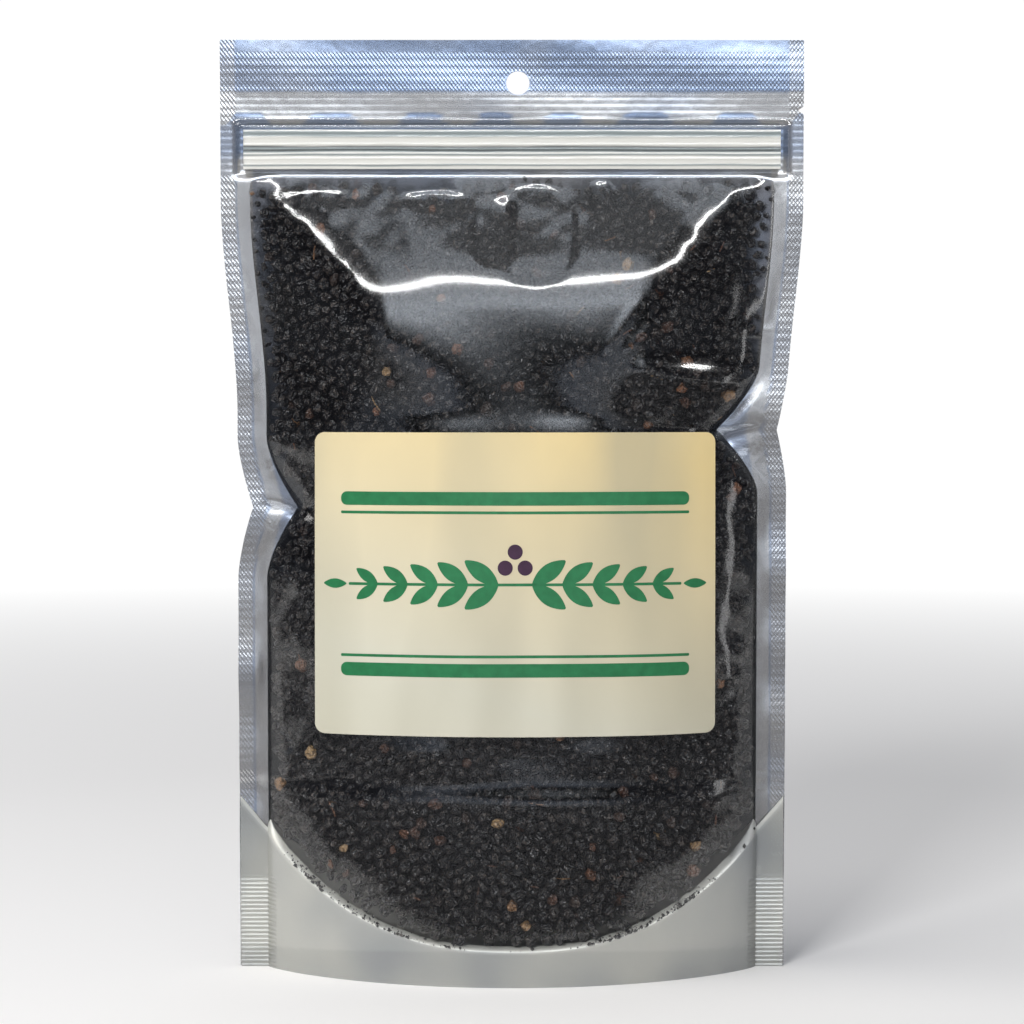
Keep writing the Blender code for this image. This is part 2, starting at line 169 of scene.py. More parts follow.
@dataclass(frozen=True)
class PouchForm:
    """The curves that every web, the zip, the label and the fill follow."""

    width: float
    height: float
    base_half_depth: float
    film: float = 0.0003
    gap: float = 0.0003
    leaf_gap: float = 0.00045
    seal_width: float = 0.0075
    leaf_top: float = 0.008
    leaf_fade: float = 0.006
    draw_in: float = 0.004
    draw_in_top: float = 0.200
    draw_in_height: float = 0.055
    taper: float = 0.010
    taper_power: float = 2.2
    shoulder_height: float = 0.178
    shoulder_foot: float = 0.2065
    shoulder_slope: float = 0.49
    shoulder_rounding: float = 0.0028
    facet_flank: float = 0.46
    facet_share: float = 0.85
    facet_rounding: float = 0.16
    facet_from: float = 0.138
    facet_rise: float = 0.034
    hem_fullness: float = 0.80
    body_fullness: float = 0.50
    body_fullness_height: float = 0.060
    gusset_rise: float = 0.044
    arch_low: float = 0.009
    arch_power: float = 2.6
    gusset_sag: float = 0.68
    zip_height: float = 0.212
    zip_swell: float = 0.0011
    zip_swell_reach: float = 0.0725
    zip_swell_rise: float = 0.0078
    zip_swell_ends: float = 0.003
    zip_swell_edges: float = 0.002
    left_crease: Crease = Crease(0.120, 0.018, 0.0040, 0.004)
    right_crease: Crease = Crease(0.140, 0.016, 0.0026, 0.008)

    @classmethod
    def from_frame(cls) -> "PouchForm":
        """The form at the size of the CAD front web."""
        low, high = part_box("front_film")
        sealed_hem = cls.gap / 2 + (cls.film + cls.leaf_gap) + cls.film
        return cls(high[0] - low[0], high[2], -low[1] - sealed_hem)

    def crease(self, side: int) -> Crease:
        """The crease of the left (-1) or right (1) edge."""
        return self.left_crease if side < 0 else self.right_crease

    def plain_edge(self, z: Array) -> Array:
        """Half width with no crease: straight at the header, drawn in by the fill."""
        drawn = smooth_step((self.draw_in_top - z) / self.draw_in_height)
        return self.width / 2 - self.draw_in * drawn

    def side_edge(self, z: Array, side: int) -> Array:
        """Half width of a web, pinched at its crease."""
        crease = self.crease(side)
        return self.plain_edge(z) - crease.edge_depth * crease.at(z)

    def pocket_edge(self, z: Array, side: int) -> Array:
        """Half width of the pocket between the side seals."""
        crease = self.crease(side)
        return self.side_edge(z, side) - self.seal_width - crease.body_depth * crease.at(z)

    def pocket_beside(self, x: Array, z: Array, creased: bool = True) -> Array:
        """Half width of the pocket on the side that x lies on."""
        if not creased:
            return self.plain_edge(z) - self.seal_width
        return np.where(x < 0, self.pocket_edge(z, -1), self.pocket_edge(z, 1))

    def seal_gap(self, z: Array) -> Array:
        """Half the gap between the sealed webs: wider beside the gusset's two leaves."""
        leaf = self.film + self.leaf_gap
        beside = smooth_step((self.gusset_rise + self.leaf_top - z) / self.leaf_fade)
        return self.gap / 2 + leaf * beside

    def inside(self, x: Array, z: Array, creased: bool = True) -> Array:
        """Distance of a web's inner face from the middle plane: a lens across the pocket,
        cut by the sloping shoulder, with the zip's swelling on the flat header. Under the
        shoulder the lens turns into a flat middle with two straight flanks.

        Args:
            x: Place across the pouch.
            z: Height.
            creased: Whether the side creases run into the body.

        Returns:
            The distance at each point.
        """
        across = np.clip(np.abs(x) / self.pocket_beside(x, z, creased), 0.0, 1.0)
        taper = self.taper * (np.maximum(z, 0.0) / self.shoulder_height) ** self.taper_power
        risen = smooth_step(z / self.body_fullness_height)
        power = self.hem_fullness + (self.body_fullness - self.hem_fullness) * risen
        section = (1.0 - across**2) ** power
        flank = (1.0 - across) / self.facet_flank
        facets = smooth_min(np.ones_like(across), flank, self.facet_rounding)
        faceted = self.facet_share * smooth_step((z - self.facet_from) / self.facet_rise)
        section = section + (facets - section) * faceted
        lens = np.maximum(self.base_half_depth - taper, 0.0) * section
        shoulder = self.shoulder_slope * np.maximum(self.shoulder_foot - z, 0.0)
        bulge = np.maximum(smooth_min(shoulder, lens, self.shoulder_rounding), 0.0)
        beside = smooth_step((self.zip_swell_reach - np.abs(x)) / self.zip_swell_ends)
        above = smooth_step((self.zip_swell_rise - np.abs(z - self.zip_height)) / self.zip_swell_edges)
        return self.seal_gap(z) + np.maximum(bulge, self.zip_swell * beside * above)

    def seal_arch(self, x: Array) -> Array:
        """Height of the U-shaped seal between the gusset and the two webs."""
        across = np.clip(np.abs(x) / (self.width / 2 - self.draw_in), 0.0, 1.0)
        return self.arch_low + (self.gusset_rise - self.arch_low) * across**self.arch_power

    def leaf_middle(self, x: Array, z: Array) -> Array:
        """Distance of a gusset leaf's middle from the middle plane."""
        return self.inside(x, z) - self.leaf_gap - self.film / 2

    def gusset_height(self, x: Array, y: Array) -> Array:
        """Height of the gusset's middle: a parabola hung between its seals, laid flat
        where it would sink below the floor."""
        arch = self.seal_arch(x)
        span = self.leaf_middle(x, arch)
        sealed = self.leaf_middle(np.full_like(arch, self.width / 2), arch)
        across = np.clip(np.abs(y) / span, 0.0, 1.0)
        sag = self.gusset_sag * (span - sealed)
        return np.maximum(arch - sag * (1.0 - across**2), self.film / 2)

    def web_columns(self, z: Array, across: int, seal: int, inset: float = 0.0) -> Array:
        """x of a web's grid: columns over the pocket, and evenly over each side seal.

        Args:
            z: Height of each row.
            across: Columns over the pocket, closer towards its sides.
            seal: Columns over each side seal.
            inset: How far the grid stops short of the edge.

        Returns:
            x of each point, one row for each height.
        """
        rows = z[:, None]
        spread = np.sin(np.linspace(-math.pi / 2, math.pi / 2, across))
        inner = spread[None, :] * self.pocket_beside(spread[None, :], rows)
        share = np.linspace(1.0, 0.0, seal, endpoint=False)[None, :]
        left_in, left_out = self.pocket_edge(rows, -1), self.side_edge(rows, -1) - inset
        right_in, right_out = self.pocket_edge(rows, 1), self.side_edge(rows, 1) - inset
        left = -(left_in + (left_out - left_in) * share)
        right = (right_in + (right_out - right_in) * share)[:, ::-1]
        return np.concatenate([left, inner, right], axis=1)


# ---------------------------------------------------------------- meshes


def stacked(x: Array, y: Array, z: Array) -> Array:
    """Points from their three coordinates."""
    return np.stack(np.broadcast_arrays(x, y, z), axis=-1)


def grid_quads(rows: int, columns: int, closed: bool = False) -> Array:
    """The quads of a grid of points stored row by row.

    Args:
        rows: Rows of points.
        columns: Points in a row.
        closed: Whether each row is a ring, whose last point meets its first.

    Returns:
        Four point numbers for each quad.
    """
    down, over = np.meshgrid(np.arange(rows - 1), np.arange(columns - (not closed)), indexing="ij")
    after = (over + 1) % columns
    corners = [down * columns + over, down * columns + after]
    corners += [(down + 1) * columns + after, (down + 1) * columns + over]
    return np.stack(corners, axis=-1).reshape(-1, 4)


def signed_volume(points: Array, faces: Array) -> float:
    """Volume inside quads or triangles whose faces point out, and minus it if they point in:
    the sum of the tetrahedra from the origin to each triangle."""
    corners = points[faces]
    total = np.einsum("ij,ij->", corners[:, 0], np.cross(corners[:, 1], corners[:, 2]))
    if faces.shape[1] == 4:
        total += np.einsum("ij,ij->", corners[:, 0], np.cross(corners[:, 2], corners[:, 3]))
    return float(total) / 6.0


def new_piece(name: str, points: Array, faces: Array, finish: Material,
              sharp: float = 60.0) -> Piece:
    """A smooth closed piece with its faces pointing out, riding on the body.

    Args:
        name: Name of the piece.
        points: Its points, in metres.
        faces: Its quads or triangles.
        finish: Its material.
        sharp: Edges that turn by more degrees than this stay sharp.

    Returns:
        The new object, at the origin.
    """
    points = np.asarray(points, dtype=np.float64).reshape(-1, 3)
    if signed_volume(points, faces) < 0.0:
        faces = faces[:, ::-1]
    mesh = bpy.data.meshes.new(name)
    mesh.from_pydata(points, [], faces)
    mesh.materials.append(finish)
    mesh.shade_smooth()
    mesh.set_sharp_from_angle(angle=math.radians(sharp))
    piece = bpy.data.objects.new(name, mesh)
    bpy.context.scene.collection.objects.link(piece)
    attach(piece, BODY)
    LOG.info("%s: %d faces", name, len(faces))
    return piece


def sheet_faces(rows: int, columns: int) -> Array:
    """Quads of a thin closed sheet: one grid, the same grid turned over, and the rim."""
    one = grid_quads(rows, columns)
    count = rows * columns
    bottom = np.arange(columns)
    right = np.arange(1, rows) * columns + columns - 1
    top = (rows - 1) * columns + np.arange(columns - 2, -1, -1)
    left = np.arange(rows - 2, 0, -1) * columns
    loop = np.concatenate([bottom, right, top, left])
    after = np.roll(loop, -1)
    rim = np.stack([after, loop, loop + count, after + count], axis=-1)
    return np.concatenate([one, one[:, ::-1] + count, rim])


def sheet(name: str, one: Array, other: Array, finish: Material) -> Piece:
    """A thin closed sheet between two equal grids of points.

    Args:
        name: Name of the piece.
        one: One face, shaped (rows, columns, 3).
        other: The other face.
        finish: Its material.

    Returns:
        The new object.
    """
    rows, columns = one.shape[:2]
    points = np.concatenate([one.reshape(-1, 3), other.reshape(-1, 3)])
    return new_piece(name, points, sheet_faces(rows, columns), finish)


def set_mask(piece: Piece, name: str, values: Array) -> None:
    """Stores a number for each point of the piece, for its material to read.

    Args:
        piece: The piece.
        name: Name of the attribute.
        values: One number a point, repeated to cover both faces of a sheet.
    """
    values = np.asarray(values, dtype=np.float32).ravel()
    repeats = len(piece.data.vertices) // len(values)
    layer = piece.data.attributes.new(name, "FLOAT", "POINT")
    layer.data.foreach_set("value", np.tile(values, repeats))


def normals_of(grid: Array) -> Array:
    """Unit normals of a grid of points: the cross product of its two tangents."""
    normal = np.cross(np.gradient(grid, axis=1), np.gradient(grid, axis=0))
    return normal / np.maximum(np.linalg.norm(normal, axis=-1, keepdims=True), 1e-12)


# ---------------------------------------------------------------- node helpers and groups


class Nodes:
    """Adds nodes to one tree and joins them, so that a material reads top to bottom."""

    def __init__(self, tree: bpy.types.NodeTree) -> None:
        """Works on the given tree."""
        self.tree = tree

    def add(self, kind: str, **settings: object) -> bpy.types.Node:
        """A node of this kind with its properties set."""
        node = self.tree.nodes.new(kind)
        for key, value in settings.items():
            setattr(node, key, value)
        return node

    def put(self, socket: Socket, value: object) -> None:
        """Joins a socket to another, or sets its value."""
        if isinstance(value, Socket):
            self.tree.links.new(value, socket)
        else:
            socket.default_value = value

    def math(self, operation: str, *values: object, clamp: bool = False) -> Socket:
        """The result of a Math node."""
        node = self.add("ShaderNodeMath", operation=operation, use_clamp=clamp)
        for socket, value in zip(node.inputs, values):
            self.put(socket, value)
        return node.outputs[0]

    def mask(self, name: str) -> Socket:
        """A number stored on the piece's points."""
        return self.add("ShaderNodeAttribute", attribute_name=name).outputs["Fac"]

    def place(self) -> Socket:
        """Object coordinates."""
        return self.add("ShaderNodeTexCoord").outputs["Object"]

    def noise(self, vector: object, scale: float, detail: float = 3.0,
              rough: float = 0.5) -> Socket:
        """A noise texture's value."""
        node = self.add("ShaderNodeTexNoise")
        self.put(node.inputs["Vector"], vector)
        self.put(node.inputs["Scale"], scale)
        self.put(node.inputs["Detail"], detail)
        self.put(node.inputs["Roughness"], rough)
        return node.outputs["Fac"]

    def spread(self, value: object, low: float, high: float,
               to_low: float, to_high: float) -> Socket:
        """Maps low..high to to_low..to_high, clamped."""
        node = self.add("ShaderNodeMapRange")
        for socket, number in zip(node.inputs, (value, low, high, to_low, to_high)):
            self.put(socket, number)
        return node.outputs[0]

    def blend(self, share: object, one: object, other: object) -> Socket:
        """A mix of two colours, on the Mix node's three colour sockets."""
        node = self.add("ShaderNodeMix", data_type="RGBA")
        for number, value in ((0, share), (6, one), (7, other)):
            self.put(node.inputs[number], value)
        return node.outputs[2]

    def ramp(self, value: object, *stops: tuple[float, Colour]) -> Socket:
        """A colour ramp through (place, colour) stops."""
        node = self.add("ShaderNodeValToRGB")
        elements = node.color_ramp.elements
        while len(elements) < len(stops):
            elements.new(0.5)
        for element, (place, colour) in zip(elements, stops):
            element.position = place
            element.color = (*colour, 1.0)
        self.put(node.inputs[0], value)
        return node.outputs[0]

    def bump(self, height: object, strength: float, distance: float) -> Socket:
        """A Bump node's normal."""
        node = self.add("ShaderNodeBump")
        self.put(node.inputs["Strength"], strength)
        self.put(node.inputs["Distance"], distance)
        self.put(node.inputs["Height"], height)
        return node.outputs["Normal"]


def new_group(name: str, inputs: dict[str, float | None], outputs: tuple[str, ...]) -> bpy.types.NodeTree:
    """An empty shader node group.

    Args:
        name: Name of the group.
        inputs: Input names with their default numbers, or None for a vector.
        outputs: Names of its number outputs.

    Returns:
        The group's tree.
    """
    tree = bpy.data.node_groups.new(name, "ShaderNodeTree")
    for key, value in inputs.items():
        kind = "NodeSocketVector" if value is None else "NodeSocketFloat"
        socket = tree.interface.new_socket(key, in_out="INPUT", socket_type=kind)
        if value is not None:
            socket.default_value = value
    for key in outputs:
        tree.interface.new_socket(key, in_out="OUTPUT", socket_type="NodeSocketFloat")
    return tree


@dataclass(frozen=True)
class SealEmboss:
    """Pitches and heights of the patterns pressed into the heat seals."""

    hatch_across: float = 0.00100
    hatch_up: float = 0.00128
    back_hatch: float = 0.5
    level_pitch: float = 0.00212
    level_height: float = 0.9
    diamond_height: float = 0.34
    rib_pitch: float = 0.00166
    rib_height: float = 0.28
    crimp_pitch: float = 0.00112

    def group(self) -> bpy.types.NodeTree:
        """The group that gives their height: a slanting hatch of small diamonds on level
        lines where the diamond mask is, level ribs where the rib mask is, and finer ribs
        where the crimp mask is. Each is a sum of sines."""
        tree = new_group(
            "seal_emboss",
            {"Vector": None, "Diamonds": 0.0, "Ribs": 0.0, "Crimp": 0.0},
            ("Height",),
        )
        nodes = Nodes(tree)
        inlet, outlet = nodes.add("NodeGroupInput"), nodes.add("NodeGroupOutput")
        split = nodes.add("ShaderNodeSeparateXYZ")
        nodes.put(split.inputs[0], inlet.outputs["Vector"])
        x, z = split.outputs["X"], split.outputs["Z"]

        def wave(pitch_x: float, pitch_z: float) -> Socket:
            """A sine across slanting lines with these pitches; 0 leaves X out."""
            turns = nodes.math("MULTIPLY", z, 2.0 * math.pi / pitch_z)
            if pitch_x:
                turns = nodes.math("MULTIPLY_ADD", x, 2.0 * math.pi / pitch_x, turns)
            return nodes.math("SINE", turns)

        def weighed(height: Socket, weight: float, mask: str) -> Socket:
            """A pattern as high as its weight, where its mask is."""
            return nodes.math("MULTIPLY", nodes.math("MULTIPLY", height, weight), inlet.outputs[mask])

        hatch = wave(self.hatch_across, self.hatch_up)
        crossed = wave(-self.hatch_across, self.hatch_up)
        slanting = nodes.math("MULTIPLY_ADD", crossed, self.back_hatch, hatch)
        lattice = nodes.math("MULTIPLY_ADD", wave(0.0, self.level_pitch), self.level_height, slanting)
        diamonds = weighed(lattice, self.diamond_height, "Diamonds")
        ribs = weighed(wave(0.0, self.rib_pitch), self.rib_height, "Ribs")
        crimp = weighed(wave(0.0, self.crimp_pitch), 1.0, "Crimp")
        total = nodes.math("ADD", nodes.math("ADD", diamonds, ribs), crimp)
        nodes.put(outlet.inputs["Height"], total)
        return tree


@dataclass(frozen=True)
class FilmTint:
    """Scales and weights of the film's patchy colour and soft unevenness."""

    coarse_scale: float = 42.0
    fine_scale: float = 300.0
    fine_height: float = 0.22
    contrast: float = 4.0

    def group(self) -> bpy.types.NodeTree:
        """The group that gives how warm the film looks from patch to patch, and the height
        of its unevenness: two scales of noise, of which the coarse one shifts the colour."""
        tree = new_group(
            "film_tint", {"Vector": None, "Warm": 0.3, "Patches": 0.3}, ("Share", "Height")
        )
        nodes = Nodes(tree)
        inlet, outlet = nodes.add("NodeGroupInput"), nodes.add("NodeGroupOutput")
        place = inlet.outputs["Vector"]
        coarse = nodes.noise(place, self.coarse_scale, 1.0)
        fine = nodes.noise(place, self.fine_scale, 1.0)
        above = nodes.math("SUBTRACT", coarse, 0.5)
        shift = nodes.math("MULTIPLY", above, inlet.outputs["Patches"])
        share = nodes.math("MULTIPLY_ADD", shift, self.contrast, inlet.outputs["Warm"], clamp=True)
        nodes.put(outlet.inputs["Share"], share)
        height = nodes.math("MULTIPLY_ADD", fine, self.fine_height, coarse)
        nodes.put(outlet.inputs["Height"], height)
        return tree


class Groups:
    """The shared node groups, each built once."""

    def __init__(self) -> None:
        """Builds them."""
        self.emboss = SealEmboss().group()
        self.tint = FilmTint().group()

    @staticmethod
    def use(nodes: Nodes, tree: bpy.types.NodeTree, **inputs: object) -> bpy.types.Node:
        """Places a group in a material with its own values.

        Args:
            nodes: The material's nodes.
            tree: The group.
            inputs: Values or sockets by input name.

        Returns:
            The group's node.
        """
        node = nodes.add("ShaderNodeGroup", node_tree=tree)
        for key, value in inputs.items():
            nodes.put(node.inputs[key], value)
        return node

    def seal_height(self, nodes: Nodes, place: Socket) -> Socket:
        """Height of the embossing from the masks that a web stores."""
        masks = {key: nodes.mask(key.lower()) for key in ("Diamonds", "Ribs", "Crimp")}
        return self.use(nodes, self.emboss, Vector=place, **masks).outputs["Height"]


def new_material(name: str) -> tuple[Material, Nodes, bpy.types.Node]:
    """An empty Principled material, with its nodes and its shader."""
    made = bpy.data.materials.new(name)
    made.use_nodes = True
    return made, Nodes(made.node_tree), made.node_tree.nodes["Principled BSDF"]


# ---------------------------------------------------------------- finishes


@dataclass(frozen=True)
class ClearFilmFinish:
    """Clear glossy film: what it doesn't mirror goes straight through."""

    mirror: float = 0.036
    roughness: float = 0.11
    emboss_depth: float = 0.00004

    def material(self, name: str, groups: Groups | None = None) -> Material:
        """The material.

        Args:
            name: Its name.
            groups: The shared groups where the film is embossed, or None for plain film.

        Returns:
            The material.
        """
        made, nodes, shader = new_material(name)
        if groups:
            emboss = groups.seal_height(nodes, nodes.place())
            nodes.put(shader.inputs["Normal"], nodes.bump(emboss, 1.0, self.emboss_depth))
        shader.inputs["Base Color"].default_value = (1.0, 1.0, 1.0, 1.0)
        shader.inputs["Metallic"].default_value = 1.0
        shader.inputs["Alpha"].default_value = self.mirror
        shader.inputs["Roughness"].default_value = self.roughness
        return made


@dataclass(frozen=True)
class MetallisedFinish:
    """Silver film, cooler or warmer from patch to patch, with the same embossed seals. Its default cool
    blue is a painted reflection of a blue room, the patches are random tone, and its shade mask paints
    shade onto the skirt.
    """

    name: str = "metallised_film"
    # The default cool blue is a painted reflection of a blue room; the gusset's cool grey is random
    # mottling.
    cool: Colour = (0.30, 0.37, 0.51)
    warm: Colour = (0.60, 0.59, 0.58)
    metallic: float = 0.85
    roughness: float = 0.25
    patches: float = 0.30
    shade: float = 0.30
    emboss_depth: float = 0.00005
    sway_depth: float = 0.00045
    shadow: Colour = (0.05, 0.05, 0.048)

    def material(self, groups: Groups) -> Material:
        """The material: tint and unevenness from one group, embossing from the other."""
        made, nodes, shader = new_material(self.name)
        place = nodes.place()
        warm = nodes.mask("warm")
        tint = Groups.use(nodes, groups.tint, Vector=place, Warm=warm, Patches=self.patches)
        sway = nodes.math("MULTIPLY", tint.outputs["Height"], self.sway_depth / self.emboss_depth)
        relief = nodes.math("ADD", sway, groups.seal_height(nodes, place))
        nodes.put(shader.inputs["Normal"], nodes.bump(relief, 1.0, self.emboss_depth))
        colour = nodes.blend(tint.outputs["Share"], (*self.cool, 1.0), (*self.warm, 1.0))
        shade = nodes.math("MULTIPLY", nodes.mask("shade"), self.shade)
        nodes.put(shader.inputs["Base Color"], nodes.blend(shade, colour, (*self.shadow, 1.0)))
        shader.inputs["Metallic"].default_value = self.metallic
        shader.inputs["Roughness"].default_value = self.roughness
        return made


@dataclass(frozen=True)
class ZipFinish:
    """Press-to-close zip plastic: milky where the track is thick, glassy grey between."""

    milky: Colour = (0.72, 0.71, 0.66)
    glassy: Colour = (0.27, 0.31, 0.31)
    dark: Colour = (0.10, 0.11, 0.11)
    roughness: float = 0.16
    streaks: tuple[float, float, float] = (45.0, 500.0, 500.0)
    wander: float = 0.0009
    relief: float = 0.00025

    def material(self, low: float, high: float) -> Material:
        """The material, banded up the track.

        Args:
            low: Height of the track's lower edge.
            high: Height of its upper edge.

        Returns:
            The material.
        """
        made, nodes, shader = new_material("zip_plastic")
        place = nodes.place()
        split = nodes.add("ShaderNodeSeparateXYZ")
        nodes.put(split.inputs[0], place)
        stretch = nodes.add("ShaderNodeMapping")
        nodes.put(stretch.inputs["Vector"], place)
        stretch.inputs["Scale"].default_value = self.streaks
        streak = nodes.noise(stretch.outputs[0], 1.0, 3.0)
        wander = nodes.math("MULTIPLY", nodes.math("SUBTRACT", streak, 0.5), self.wander)
        level = nodes.spread(nodes.math("ADD", split.outputs["Z"], wander), low, high, 0.0, 1.0)
        bands = nodes.ramp(
            level,
            (0.00, self.milky),
            (0.05, self.milky),
            (0.09, self.glassy),
            (0.14, self.milky),
            (0.31, self.milky),
            (0.36, self.glassy),
            (0.40, self.milky),
            (0.44, self.glassy),
            (0.47, self.dark),
            (0.52, self.glassy),
            (0.56, self.dark),
            (0.61, self.milky),
            (0.79, self.milky),
            (0.84, self.glassy),
            (0.95, self.glassy),
            (1.00, self.milky),
        )
        nodes.put(shader.inputs["Base Color"], bands)
        shader.inputs["Roughness"].default_value = self.roughness
        nodes.put(shader.inputs["Normal"], nodes.bump(streak, 0.5, self.relief))
        return made


@dataclass(frozen=True)
class LabelStockFinish:
    """Cream semi-gloss label stock: warmer towards one top corner, with soft slanting bands of painted
    shade.
    """

    warm: Colour = (0.74, 0.58, 0.28)
    pale: Colour = (0.60, 0.58, 0.47)
    # Colour of the painted shade bands, then how they turn, stretch and how far they darken the stock.
    painted_shade: Colour = (0.36, 0.34, 0.25)
    painted_shade_turn: float = 0.7
    painted_shade_scale: tuple[float, float, float] = (34.0, 1.0, 9.0)
    painted_shade_share: float = 0.55
    warm_across: float = 0.35
    warm_up: float = 0.75
    grain_scale: float = 900.0
    grain_depth: float = 0.00010
    roughness: float = 0.38
    uneven: float = 0.14

    def material(self, centre: Vector, size: tuple[float, float]) -> Material:
        """The material.

        Args:
            centre: The label's middle.
            size: Its width and height.

        Returns:
            The material.
        """
        made, nodes, shader = new_material("label_stock")
        split = nodes.add("ShaderNodeSeparateXYZ")
        place = nodes.place()
        nodes.put(split.inputs[0], place)

        def share_of(axis: str, middle: float, reach: float) -> Socket:
            """0 to 1 from one edge of the label to the other."""
            return nodes.spread(split.outputs[axis], middle - reach / 2, middle + reach / 2, 0.0, 1.0)

        across, up = share_of("X", centre.x, size[0]), share_of("Z", centre.z, size[1])
        raised = nodes.math("MULTIPLY", up, self.warm_up)
        share = nodes.math("MULTIPLY_ADD", across, self.warm_across, raised)
        base = nodes.ramp(share, (0.25, self.pale), (1.0, self.warm))
        turned = nodes.add("ShaderNodeMapping")
        nodes.put(turned.inputs["Vector"], place)
        turned.inputs["Rotation"].default_value = (0.0, self.painted_shade_turn, 0.0)
        turned.inputs["Scale"].default_value = self.painted_shade_scale
        # Painted shade: soft slanting grey bands of noise, blended into the label's colour.
        painted_shade = nodes.spread(
            nodes.noise(turned.outputs[0], 1.0, 1.5), 0.44, 0.70, 0.0, self.painted_shade_share
        )
        nodes.put(shader.inputs["Base Color"], nodes.blend(painted_shade, base, (*self.painted_shade, 1.0)))
        grain = nodes.noise(place, self.grain_scale, 4.0)
        rough = nodes.spread(grain, 0.3, 0.7, self.roughness, self.roughness + self.uneven)
        nodes.put(shader.inputs["Roughness"], rough)
        nodes.put(shader.inputs["Normal"], nodes.bump(grain, 0.10, self.grain_depth))
        return made


@dataclass(frozen=True)
class InkFinish:
    """Printed ink of one colour, a little uneven."""

    name: str
    colour: Colour
    roughness: float = 0.36
    uneven: float = 0.1
    fleck_scale: float = 500.0
    deepest: float = 0.85
    lightest: float = 1.12

    def material(self) -> Material:
        """The material: flecks of noise between a deeper and a lighter shade."""
        made, nodes, shader = new_material(self.name)
        fleck = nodes.noise(nodes.place(), self.fleck_scale, 4.0)
        deep = tuple(part * self.deepest for part in self.colour)
        light = tuple(min(1.0, part * self.lightest) for part in self.colour)
        nodes.put(shader.inputs["Base Color"], nodes.ramp(fleck, (0.3, deep), (0.7, light)))
        rough = nodes.spread(fleck, 0.3, 0.7, self.roughness, self.roughness + self.uneven)
        nodes.put(shader.inputs["Roughness"], rough)
        return made


@dataclass(frozen=True)
class BerryFinish:
    """Dry wrinkled berry skin. Each berry stores its own tone: near black with a blue or
    brown cast, and tan or red-brown at the top few hundredths."""

    roughness: float = 0.33
    wrinkle_scale: float = 600.0
    wrinkle_depth: float = 0.0036
    # rim: colour of the painted highlight along the wrinkles.
    rim: Colour = (0.075, 0.060, 0.050)
    rim_highlight_width: float = 0.035
    rim_highlight_share: float = 0.75

    def material(self) -> Material:
        """The material: tone, and sharp wrinkles with painted highlights, paler rims along the lines where
        a noise passes its middle value."""
        made, nodes, shader = new_material("dried_berry")
        place = nodes.place()
        skin = nodes.ramp(
            nodes.mask("tone"),
            (0.00, (0.002, 0.002, 0.003)),
            (0.45, (0.004, 0.004, 0.005)),
            (0.78, (0.008, 0.007, 0.007)),
            (0.92, (0.020, 0.012, 0.009)),
            (0.965, (0.06, 0.026, 0.015)),
            (0.985, (0.15, 0.064, 0.030)),
            (1.00, (0.27, 0.18, 0.09)),
        )
        wrinkle = nodes.noise(place, self.wrinkle_scale, 1.0, 0.6)
        fold = nodes.math("ABSOLUTE", nodes.math("SUBTRACT", wrinkle, 0.5))
        # Painted highlight: the rim colour along each wrinkle's line.
        rim = nodes.spread(fold, 0.0, self.rim_highlight_width, self.rim_highlight_share, 0.0)
        nodes.put(shader.inputs["Base Color"], nodes.blend(rim, skin, (*self.rim, 1.0)))
        nodes.put(shader.inputs["Normal"], nodes.bump(fold, 1.0, -self.wrinkle_depth))
        shader.inputs["Roughness"].default_value = self.roughness
        return made


# ---------------------------------------------------------------- the webs


